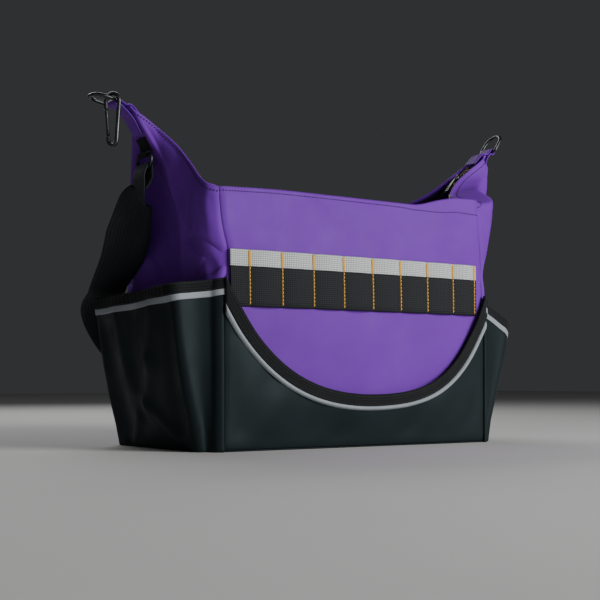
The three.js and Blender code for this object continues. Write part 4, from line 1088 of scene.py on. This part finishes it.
# Side pockets
def pocket_plan(side, z):
    """Plan of a pocket at each height: distance beyond the base's end and y, from front seam to back seam."""
    reach = column(REACH[side], "z", "out")(z)
    level = np.clip((z - WALL_FOOT) / (MOUTH_ROWS[side][0]["z"] - WALL_FOOT), 0, 1)
    share = np.linspace(WRAP["start"], WRAP["stop"], PLAN["wrap"])[:, None]
    at, ahead = (end_point(side, -1, share + step, level[None, :]) for step in (0, WRAP["ahead"]))
    sign = SIGN[side]
    way = unit(np.stack([sign * (ahead[..., 0] - at[..., 0]), ahead[..., 1] - at[..., 1]], -1))
    lift = SIDE["seam_gap"] + SIDE["thick"]
    wrap_out = sign * at[..., 0] - HALF_LENGTH + way[..., 1] * lift
    wrap_y = at[..., 1] - way[..., 0] * lift
    bend = np.minimum(SIDE["corner"], SIDE["bend"] * (reach - wrap_out[-1]))
    turn_out = reach - bend
    t = np.linspace(0, 1, PLAN["gusset"] + 2)[1:-1, None]
    gusset_out = mix(wrap_out[-1], turn_out, t)
    gusset_y = mix(wrap_y[-1], -SIDE["corner_half"], t) + SIDE["pleat"] * np.sin(np.pi * t)
    a = np.linspace(0, np.pi / 2, PLAN["corner"])[:, None]
    corner_out = turn_out + bend * np.sin(a)
    corner_y = -SIDE["corner_half"] + bend * (1 - np.cos(a))
    out = np.concatenate([wrap_out, gusset_out, corner_out])
    y = np.concatenate([wrap_y, gusset_y, corner_y])
    face_y = mix(y[-1], -y[-1], np.linspace(0, 1, PLAN["face"] + 2)[1:-1, None])
    face_out = np.broadcast_to(reach, face_y.shape)
    return np.concatenate([out, face_out, out[::-1]]), np.concatenate([y, face_y, -y[::-1]])


def plan_share():
    """Place of each column along the pocket, as the solids number them."""
    corner_end = PLAN["wrap"] + PLAN["gusset"] + PLAN["corner"] - 1
    at = np.array([0, PLAN["wrap"] - 1, PLAN["wrap"] + PLAN["gusset"], corner_end])
    spans = np.cumsum([0, SOLID_SPANS["wrap"], SOLID_SPANS["gusset"], SOLID_SPANS["corner"]])
    share = spans / (2 * spans[-1] + SOLID_SPANS["face"])
    columns = np.arange(POCKET_COLUMNS)
    both_at = np.concatenate([at, columns[-1] - at[::-1]])
    return np.interp(columns, both_at, np.concatenate([share, 1 - share[::-1]]))


def pocket_rim(side):
    return column(RIM[side], "share", "z")(plan_share())


def gathers(form, share):
    return form["size"] * np.sin(2 * np.pi * form["waves"] * share)


def pocket_points(side, heights):
    """Points on a pocket's outside; heights holds a row of heights for each column of its plan."""
    levels = np.linspace(0, PLAN_LEVELS["top"], PLAN_LEVELS["count"])
    plan = pocket_plan(side, levels)
    share = plan_share()
    on_face = ease(*ON_FACE, share) * ease(*ON_FACE, 1 - share)
    made = np.empty((*heights.shape, 3))
    for k, (z, rim) in enumerate(zip(heights, pocket_rim(side))):
        out, y = (np.interp(z, levels, rows[k]) for rows in plan)
        gather = gathers(GATHER, share[k]) * ease(rim - GATHER["height"], rim, z)
        ruffle = gathers(RUFFLE, share[k]) * ease(rim - RUFFLE["height"], rim - RUFFLE["full"], z)
        free = ease(0, FOLD_FADE["foot"], z) * ease(rim, rim - FOLD_FADE["rim"], z)
        swell = gather + ruffle + line_folds(POCKET_FOLDS, y, z, tapered=False) * free
        made[k] = np.stack([SIGN[side] * (HALF_LENGTH + out + swell * on_face[k]), y, z], -1)
    return made


def pocket_sheet(side, heights, near, far):
    """Cloth between two distances off a pocket's outside, with its points and normals."""
    points = pocket_points(side, heights)
    normals = grid_normals(points) * SIGN[side]
    return sheet_shape(points + normals * far, points + normals * near), points, normals


def pocket_floor(side):
    """Floor of a pocket, a flat sheet from the wall out to the pocket's foot."""
    sign = SIGN[side]
    foot = pocket_points(side, np.full((POCKET_COLUMNS, 1), SIDE["foot"]))[:, 0]
    edge = foot[PLAN["wrap"] : -PLAN["wrap"]]
    wall = edge.copy()
    wall[:, 0] = sign * (HALF_LENGTH + SIDE["seam_gap"])
    t = np.linspace(0, 1, SIDE_ROWS["floor"])[None, :, None]
    low = mix(wall[:, None], edge[:, None] - np.array([sign * SIDE["thick"] / 2, 0, 0]), t)
    high = low.copy()
    low[..., 2] = SIDE["foot"]
    high[..., 2] = SIDE["foot"] + SIDE["floor"]
    return sheet_shape(high, low) if sign < 0 else sheet_shape(low, high)


def build_side_pocket(side):
    rim = pocket_rim(side)[:, None]
    t = np.linspace(0, 1, SIDE_ROWS["wall"])[None, :]
    wall, _, _ = pocket_sheet(side, mix(SIDE["foot"], rim, t), -SIDE["thick"], 0)
    cloth = dress(f"side_pocket_{side}", "cloth", merged([wall, pocket_floor(side)]), BLACK)
    band = np.linspace(-SIDE_HEM["height"], 0, SIDE_ROWS["hem"])[None, :]
    lift = GAP + SIDE_HEM["thick"]
    hem, points, normals = pocket_sheet(side, rim + band, GAP, lift)
    tape = dress(f"pocket_hem_{side}", "tape", hem, TAPE)
    top = -SIDE_HEM["height"] - GAP
    band = np.linspace(top - REFLECTOR["height"], top, SIDE_ROWS["strip"])[None, :]
    strip, _, _ = pocket_sheet(side, rim + band, GAP, GAP + REFLECTOR["thick"])
    strip = dress(f"pocket_reflector_{side}", "strip", strip, GREY_STRIP)
    lines = [(points[:, j] + normals[:, j] * lift, normals[:, j]) for j in HEM_STITCH_ROWS]
    rows = [stitch_shape(*line, **THREAD) for line in lines]
    thread = add_piece(f"pocket_hem_{side}_stitches", merged(rows), BLACK_THREAD)


# Zip
def tape_place(half, turn):
    """Edge of a tape on the wall, its way across and its width, at one place round the mouth."""
    t = turn % 4
    on_end = t > 3 or 1 < t < 2
    share = 1 - abs(2 * (t % 1) - 1) if on_end else 0
    level = 1 - ZIP["drop"] / hem_height(0.5)
    at_corner = bell(t - round(t), 0, ZIP_CORNER["reach"])
    at_neck = bell(share, ZIP_NECK["share"], ZIP_NECK["reach"])
    inset = ZIP["inset"] + ZIP_CORNER["inset"] * at_corner + ZIP_NECK["inset"] * at_neck
    edge = shell_point(t, level) - shell_normal(t, level) * (WALL + inset)
    outward = sum(shell_normal(t + step * ZIP_CORNER["reach"], level) for step in (-2, -1, 0, 1, 2))
    outward = unit(outward * np.array([1, 1, 0]))
    shut = ease(ZIP_CLOSE["start"], ZIP_CLOSE["stop"], share) if on_end else 0
    on_flank = bell(share, ZIP_FLANK["share"], ZIP_FLANK["reach"]) if t > 3 else 0
    open_way = unit([-outward[0], -outward[1], -ZIP["sag"] - ZIP_FLANK["sag"] * on_flank])
    way = unit(mix(open_way, np.array([0, -half, 0]), shut))
    reach = abs(edge[1]) - ZIP["tooth"] - ZIP["tooth_gap"]
    return edge, way, mix(ZIP["width"], min(reach, ZIP["width"] + ZIP["spare"]), shut)


def zip_run(half):
    """Stations of one tape: its edge on the wall, its way across, its width and its upper face."""
    corner = np.linspace(0, ZIP_STATIONS["corner_share"], ZIP_STATIONS["corner"])
    beyond = np.linspace(ZIP_STATIONS["corner_share"], ZIP["end_share"], ZIP_STATIONS["end"])[1:]
    end = np.concatenate([corner, beyond]) / 2
    face = np.linspace(0, 1, ZIP_STATIONS["face"])[1:-1]
    first, middle, second = (4, face, 1) if half < 0 else (2, face + 2, 3)
    turns = np.concatenate([first - end[::-1], middle, second + end])
    edge, way, width = (np.array(rows) for rows in zip(*[tape_place(half, turn) for turn in turns]))
    up = unit(np.cross(way, np.gradient(edge, axis=0)))
    return edge, way, width, up * np.where(up[:, 2:] < 0, -1, 1)


def tooth_shapes(path, way, up):
    """Separate teeth along a tape's free edge."""
    distance = np.arange(TOOTH["pitch"] / 2, path_length(path)[-1], TOOTH["pitch"])
    places, across = along_path(path, way, distance)
    _, lift = along_path(path, up, distance)
    across, lift = unit(across), unit(lift)
    run = unit(np.cross(across, lift))
    faces = capped_faces(len(TOOTH_RINGS), len(TOOTH_SECTION))
    shapes = []
    for k, place in enumerate(places):
        section = TOOTH_SECTION[:, :1] * run[k] * TOOTH["length"] / 2
        section = section + TOOTH_SECTION[:, 1:] * lift[k] * TOOTH["height"] / 2
        depths = [place + across[k] * ring["depth"] * ZIP["tooth"] / 2 for ring in TOOTH_RINGS]
        rings = [middle + section * ring["size"] for middle, ring in zip(depths, TOOTH_RINGS)]
        points = np.concatenate(rings)
        shapes.append((points, faces, np.zeros((len(points), 2))))
    return shapes


def build_zip():
    for name, half in (("front", -1), ("back", 1)):
        edge, way, width, up = zip_run(half)
        centre = edge + way * (width / 2)[:, None]
        tape = ribbon_shape(centre, way, up, width / 2, ZIP["thick"], STRIP["rows"])
        tape = dress(f"zip_tape_{name}", "weave", tape, TAPE)
        bead = edge + way * (width + (ZIP["tooth"] + ZIP["tooth_gap"]) / 2)[:, None]
        row = dress(f"zip_teeth_{name}", "row", merged(tooth_shapes(bead, way, up)), BRASS, smooth=False)


def slider_frame():
    """Origin, along and up of the slider, on the closed stretch at the right ear."""
    at, beyond = (tape_place(-1, 1 + share / 2)[0] for share in (ZIP_CLOSE["stop"], ZIP["end_share"]))
    slope = np.arctan2(beyond[2] - at[2], beyond[0] - at[0])
    half = SLIDER["length"] / 2
    origin = np.array([at[0] + half, 0, at[2] + np.tan(slope) * half])
    along = np.array([np.cos(slope), 0, np.sin(slope)])
    up = np.array([-np.sin(slope), 0, np.cos(slope)])
    return origin, along, up


def build_slider():
    origin, along, up = slider_frame()
    low = ZIP["tooth"] / 2 + SLIDER["clear"]
    top = low + SLIDER["thick"]
    half = SLIDER["width"] / 2
    outline = rounded_outline(SLIDER["length"], half, half * SLIDER["taper"], SLIDER["corner"])
    plate = plate_shape(outline, low, top, along, np.cross(up, along), up, origin)
    arch = np.linspace(0, np.pi, CROWN["steps"])[:, None]
    reach = CROWN["length"] / 2 * np.cos(arch)
    rise = top - CROWN["sunk"] + CROWN["rise"] * np.sin(arch)
    crown = tube_shape(origin + reach * along + rise * up, CROWN["radius"], CROWN["sides"])
    dress("zip_slider", "body", merged([plate, crown]), STEEL)
    pivot = origin - along * (SLIDER["length"] / 2 - PULL["over"])
    build_pull(pivot + up * (top + PULL["clear"] + PULL["thick"] / 2))


def build_pull(pivot):
    drop = np.radians(PULL["drop"])
    run = np.array([-np.cos(drop), 0, -np.sin(drop)])
    face = np.array([-np.sin(drop), 0, np.cos(drop)])
    side = np.cross(face, run)
    middle = pivot + run * PULL["length"] / 2
    half, wide = PULL["thick"] / 2, PULL["width"] / 2
    outline = rounded_outline(PULL["length"], wide * PULL["taper"], wide, PULL["corner"])
    tab = plate_shape(outline, -half, half, run, side, face, middle)
    ribs = []
    for k in range(RIBS["count"]):
        rib = middle + run * (k * RIBS["pitch"] + RIBS["first"]) + face * half
        line = [rib + side * s * RIBS["half"] for s in (-1, 0, 1)]
        ribs.append(tube_shape(line, RIBS["radius"], RIBS["sides"]))
    dress("zip_pull", "tab", merged([tab, *ribs]), RUBBER, body="pull")


# Ear tabs, rings and hook
def around_bar(centre, radius, sign, start, stop, steps):
    """Places in the middle plane round a bar, from one angle to another."""
    a = np.radians(np.linspace(start, stop, steps + 1))
    return [(centre[0] + sign * radius * np.cos(v), centre[1] + radius * np.sin(v)) for v in a]


def flank_rise(side, level, half):
    """Most the cloth beside an ear's fold stands out past it, under a strip of the given half width."""
    middle = abs(end_point(side, -1, 1.0, level)[0])
    share = np.linspace(FLANK["start"], FLANK["stop"], FLANK["steps"])
    beside = np.concatenate([end_point(side, way, share, level) for way in (-1, 1)])
    covered = beside[np.abs(beside[:, 1]) <= half]
    return max([0.0, *(np.abs(covered[:, 0]) - middle)])


def on_fold(side, level, lift, half):
    """A place over an ear's fold, clear of the cloth under a strip of the given half width."""
    p = end_point(side, -1, 1.0, level)
    n = shell_normal(FOLD_TURN[side], level)
    out = n[0] * lift + SIGN[side] * flank_rise(side, level, half)
    return (p[0] + out, p[2] + n[2] * lift)


def ring_centre(side):
    place = RING_PLACE[side]
    return (SIGN[side] * (HALF_LENGTH + place["out"]), place["z"])


def bent_strip(path, thick, width):
    """A strip bent along a path in the middle plane, with its centre line and the way it faces."""
    centre = smooth_path([(x, 0, z) for x, z in path], STRIP["steps"])
    tangent = unit(np.gradient(centre, axis=0))
    face = np.stack([-tangent[:, 2], np.zeros(len(centre)), tangent[:, 0]], -1)
    wide = np.broadcast_to(-FORWARD, centre.shape)
    return ribbon_shape(centre, wide, face, width / 2, thick, STRIP["rows"]), centre, face


def ear_tab(side):
    """The loop at an ear's tip, from the rim round the ring's bar to the fold below, and its stitches."""
    mouth = MOUTH[side]
    radius = RING["wire"] / 2 + TAB["clear"] + TAB["thick"] / 2
    seat = TAB["seat"] + TAB["thick"] / 2
    half = TAB["width"] / 2

    def rim(share, back, lift):
        out, z = (float(mouth[key](share)) for key in ("out", "z"))
        return (SIGN[side] * (HALF_LENGTH + out - back), z + lift)

    path = [
        rim(TAB["start"], 0, seat + TAB["ease"]),
        rim(1, TAB["tip_run"], seat),
        rim(1, 0, seat),
        *around_bar(ring_centre(side), radius, SIGN[side], **TAB_WRAP),
        *[on_fold(side, level, seat + TAB["ease"], half) for level in TAB_BELOW],
    ]
    shape, centre, face = bent_strip(path, TAB["thick"], TAB["width"])
    rows = []
    for y in (TAB["sewn"] - half, half - TAB["sewn"]):
        for part in TAB_SEWN:
            line = centre[part] + np.array([0, y, 0]) + face[part] * TAB["thick"] / 2
            rows.append(stitch_shape(line, face[part], **TAB_THREAD))
    return shape, merged(rows)


def ring_outline():
    """Outline of a D-ring: the way out from its straight bar, and y."""
    half, leg, corner = RING["half"], RING["leg"], RING["corner"]
    bow = [(leg + half * np.sin(a), half * np.cos(a)) for a in np.linspace(0, np.pi, RING["bow_steps"])]
    inner = half - corner
    bend = RING["bend"] * corner
    front = [(corner, -half), (bend, bend - half), (0, -inner), (0, -RING["bar"] * inner)]
    back = [(along, -y) for along, y in reversed(front)]
    return bow + front + back


def ring_point(side, along, y):
    tilt = np.radians(RING_PLACE[side]["tilt"])
    x, z = ring_centre(side)
    return np.array([x + SIGN[side] * along * np.cos(tilt), y, z + along * np.sin(tilt)])


def build_ear(side):
    tab, stitches = ear_tab(side)
    tab = dress(f"ear_tab_{side}", "cloth", tab, PURPLE)
    thread = add_piece(f"ear_tab_{side}_stitches", stitches, PURPLE_THREAD)
    path = smooth_path([ring_point(side, *p) for p in ring_outline()], RING["steps"], closed=True)
    ring = tube_shape(path, RING["wire"] / 2, RING["sides"], closed=True)
    dress(f"d_ring_{side}", "wire", ring, GUNMETAL, body=f"ring_{side}")


def hook_across():
    turn = np.radians(HOOK["turn"])
    return np.array([np.cos(turn), np.sin(turn), 0])


def hook_point(across, z):
    seat = ring_point("left", HOOK["along"], -RING["half"])
    return seat + hook_across() * across + np.array([0, 0, z])


def gate_point(z):
    """A place on the line of the hook's gate."""
    t = np.clip((z - HOOK_SHOULDER) / (-HOOK["depth"] - HOOK_SHOULDER), 0, 1)
    return hook_point(-mix(HOOK["top"], HOOK["foot"], t), z)


def build_hook():
    path = [gate_point(-HOOK["nose"])]
    for a in np.linspace(np.pi, 0, HOOK_STEPS["top"]):
        path.append(hook_point(HOOK["top"] * np.cos(a), HOOK_SHOULDER + HOOK["top"] * np.sin(a)))
    for t in HOOK_SHAFT:
        path.append(hook_point(mix(HOOK["top"], HOOK["foot"], t), mix(HOOK_SHOULDER, -HOOK["depth"], t)))
    for a in np.linspace(0, np.pi, HOOK_STEPS["foot"]):
        path.append(hook_point(HOOK["foot"] * np.cos(a), -HOOK["depth"] - HOOK["foot"] * np.sin(a)))
    path.append(gate_point(-HOOK["hinge"]))
    wire = tube_shape(smooth_path(path, HOOK_STEPS["path"]), HOOK["wire"] / 2, HOOK_STEPS["sides"])
    dress("hook_body", "wire", wire, STEEL, body="hook")
    build_gate()


def build_gate():
    """The gate's bar with a collar at each end, and the rivet it turns on."""
    low, high = HOOK["gap"] - HOOK["hinge"], -HOOK["nose"] - HOOK["gap"]
    swell = np.full(GATE["steps"], GATE["bar"])
    swell[1 : 1 + GATE["collar"]] = 1
    swell[-1 - GATE["collar"] : -1] = 1
    swell[[0, -1]] = GATE["tip"]
    line = [gate_point(z) for z in np.linspace(low, high, GATE["steps"])]
    bar = tube_shape(line, GATE["wire"] / 2 * swell, GATE["sides"])
    normal = np.cross(hook_across(), [0, 0, 1])
    inner = RIVET["half"] - RIVET["edge"]
    pin = gate_point(low + RIVET["above"])
    ends = [pin + normal * s for s in (-RIVET["half"], -inner, inner, RIVET["half"])]
    rivet = tube_shape(ends, RIVET["radius"], RIVET["sides"])
    dress("hook_gate", "bar", merged([bar, rivet]), STEEL, body="gate")


# Shoulder strap and what holds it
def strap_ring_place(side):
    """Middle of the ring's upper bar, clear of the cloth behind both bars."""
    half = STRAP_RING["half"] + STRAP_RING["wire"] / 2
    x, z = on_fold(side, STRAP_RING["level"], STRAP_RING["out"], 0)
    rise = max(flank_rise(side, STRAP_RING[bar], half) for bar in ("level", "low"))
    return (x + SIGN[side] * rise, z)


def strap_ring(side):
    x, top = strap_ring_place(side)
    half, corner = STRAP_RING["half"], STRAP_RING["wire"]
    low = top - STRAP_RING["height"]
    outline = []
    for s, start, stop in ((1, top, low), (-1, low, top)):
        bend = corner * np.sign(stop - start)
        near, far = half * STRAP_RING["bar"], half - corner
        leg = [(near, start), (far, start), (half, start + bend)]
        leg += [(half, stop - bend), (far, stop), (near, stop)]
        outline += [(x, s * y, z) for y, z in leg]
    path = smooth_path(outline, STRAP_RING["steps"], closed=True)
    return tube_shape(path, STRAP_RING["wire"] / 2, STRAP_RING["sides"], closed=True)


def strap_tab(side):
    radius = STRAP_RING["wire"] / 2 + STRAP_TAB["clear"] + STRAP_TAB["thick"] / 2
    seat = STRAP_TAB["seat"] + STRAP_TAB["thick"] / 2
    path = [on_fold(side, level, seat, STRAP_TAB["width"] / 2) for level in STRAP_TAB_FROM]
    path += around_bar(strap_ring_place(side), radius, SIGN[side], **STRAP_TAB_WRAP)
    return bent_strip(path, STRAP_TAB["thick"], STRAP_TAB["width"])[0]


def strap_loop(side):
    """The narrow end: up from the strap, over the ring's lower bar and down again."""
    sign = SIGN[side]
    x, top = strap_ring_place(side)
    bar = top - STRAP_RING["height"]
    radius = STRAP_RING["wire"] / 2 + STRAP_LOOP["clear"] + STRAP["thick"] / 2
    fold, bulge = STRAP_LOOP["fold"], STRAP_LOOP["bulge"]
    turns = np.linspace(0, np.pi, STRAP_LOOP["steps"])
    rows = table(
        "out z face_out face_up",
        (bulge - STRAP["thick"] - STRAP_LOOP["clear"], -fold, -1, -0.3),
        (-radius, -fold / 2, -1, -0.15),
        (-radius, -radius, -1, 0),
        *[(-radius * np.cos(a), radius * np.sin(a), -np.cos(a), np.sin(a)) for a in turns],
        (radius + bulge / 2, -fold / 3, 1, 0.1),
        (bulge, -fold, 1, -0.05),
    )
    centre = [np.array([x + sign * row["out"], 0, bar + row["z"]]) for row in rows]
    face = [unit([sign * row["face_out"], 0, row["face_up"]]) for row in rows]
    return centre, face


def strap_half(side):
    """Places, facings and half widths of the strap from one ring to its middle."""
    sign = SIGN[side]
    centre, face = strap_loop(side)
    half = [STRAP["neck"] / 2] * len(centre)
    extra = abs(strap_ring_place(side)[0]) - abs(strap_ring_place("left")[0])
    for row in STRAP_ROUTE:
        out = HALF_LENGTH + row["out"] + row["carry"] * extra
        centre.append(np.array([sign * out, row["y"], row["z"]]))
        face.append(unit([sign * row["face_out"], row["face_back"], row["face_up"]]))
        half.append(row["half"])
    return centre, face, half


def build_strap():
    halves = zip(strap_half("left"), strap_half("right"))
    places, faces, widths = (np.array(left + right[-2::-1]) for left, right in halves)
    centre = smooth_path(places, STRAP["steps"])
    index = np.arange(len(places))
    at = np.linspace(0, index[-1], len(centre))
    half = np.interp(at, index, widths)
    along = unit(np.gradient(centre, axis=0))
    wide = unit(np.cross(along, between_rows(at, index, faces)))
    face = unit(np.cross(wide, along))
    strap = ribbon_shape(centre, wide, face, half, STRAP["thick"], STRAP["rows"])
    webbing = dress("shoulder_strap", "webbing", strap, WEBBING)
    rows = []
    for sign in (-1, 1):
        for lift in (-1, 1):
            inset = wide * (sign * (half - STRAP["sewn"]))[:, None]
            line = centre + inset + face * (lift * STRAP["thick"] / 2)
            rows.append(stitch_shape(line[STRAP_SEWN], face[STRAP_SEWN] * lift, **THREAD))
    thread = add_piece("shoulder_strap_stitches", merged(rows), BLACK_THREAD)


def build_strap_holder(side):
    dress(f"strap_ring_{side}", "wire", strap_ring(side), GUNMETAL)
    tab = dress(f"strap_tab_{side}", "tape", strap_tab(side), TAPE)


# Floor, light and camera
def build_stage():
    bpy.ops.mesh.primitive_plane_add(size=FLOOR["size"], location=(0, 0, 0))
    floor = bpy.context.object
    floor.name = "floor"
    floor.data.materials.append(plain_floor("pale_floor", FLOOR["colour"]))


def place_facing(thing, place, direction):
    thing.location = place
    thing.rotation_euler = direction.to_track_quat("-Z", "Y").to_euler()


def build_light():
    for row in LIGHTS:
        data = bpy.data.lights.new(row["name"], "AREA")
        data.shape = "RECTANGLE"
        data.size, data.size_y = row["size"]
        data.energy = row["power"]
        place_facing(add_object(row["name"], data), row["place"], Vector(LIGHT_AIM) - Vector(row["place"]))
    world = bpy.data.worlds.new("studio")
    world.use_nodes = True
    sky = world.node_tree.nodes["Background"]
    sky.inputs["Color"].default_value = SKY["colour"]
    sky.inputs["Strength"].default_value = SKY["strength"]
    bpy.context.scene.world = world


def build_camera():
    data = bpy.data.cameras.new("photo_view")
    data.lens = CAMERA["lens"]
    data.sensor_width = CAMERA["sensor"]
    data.shift_y = CAMERA["shift_y"]
    camera = add_object("photo_view", data)
    place_facing(camera, CAMERA["place"], Vector(CAMERA["forward"]))
    bpy.context.scene.camera = camera


build_walls()
build_base()
build_front_pocket()
build_bands()
for end_side in SIGN:
    build_side_pocket(end_side)
build_zip()
build_slider()
for end_side in SIGN:
    build_ear(end_side)
build_hook()
build_strap()
for end_side in SIGN:
    build_strap_holder(end_side)
build_stage()
build_light()
build_camera()
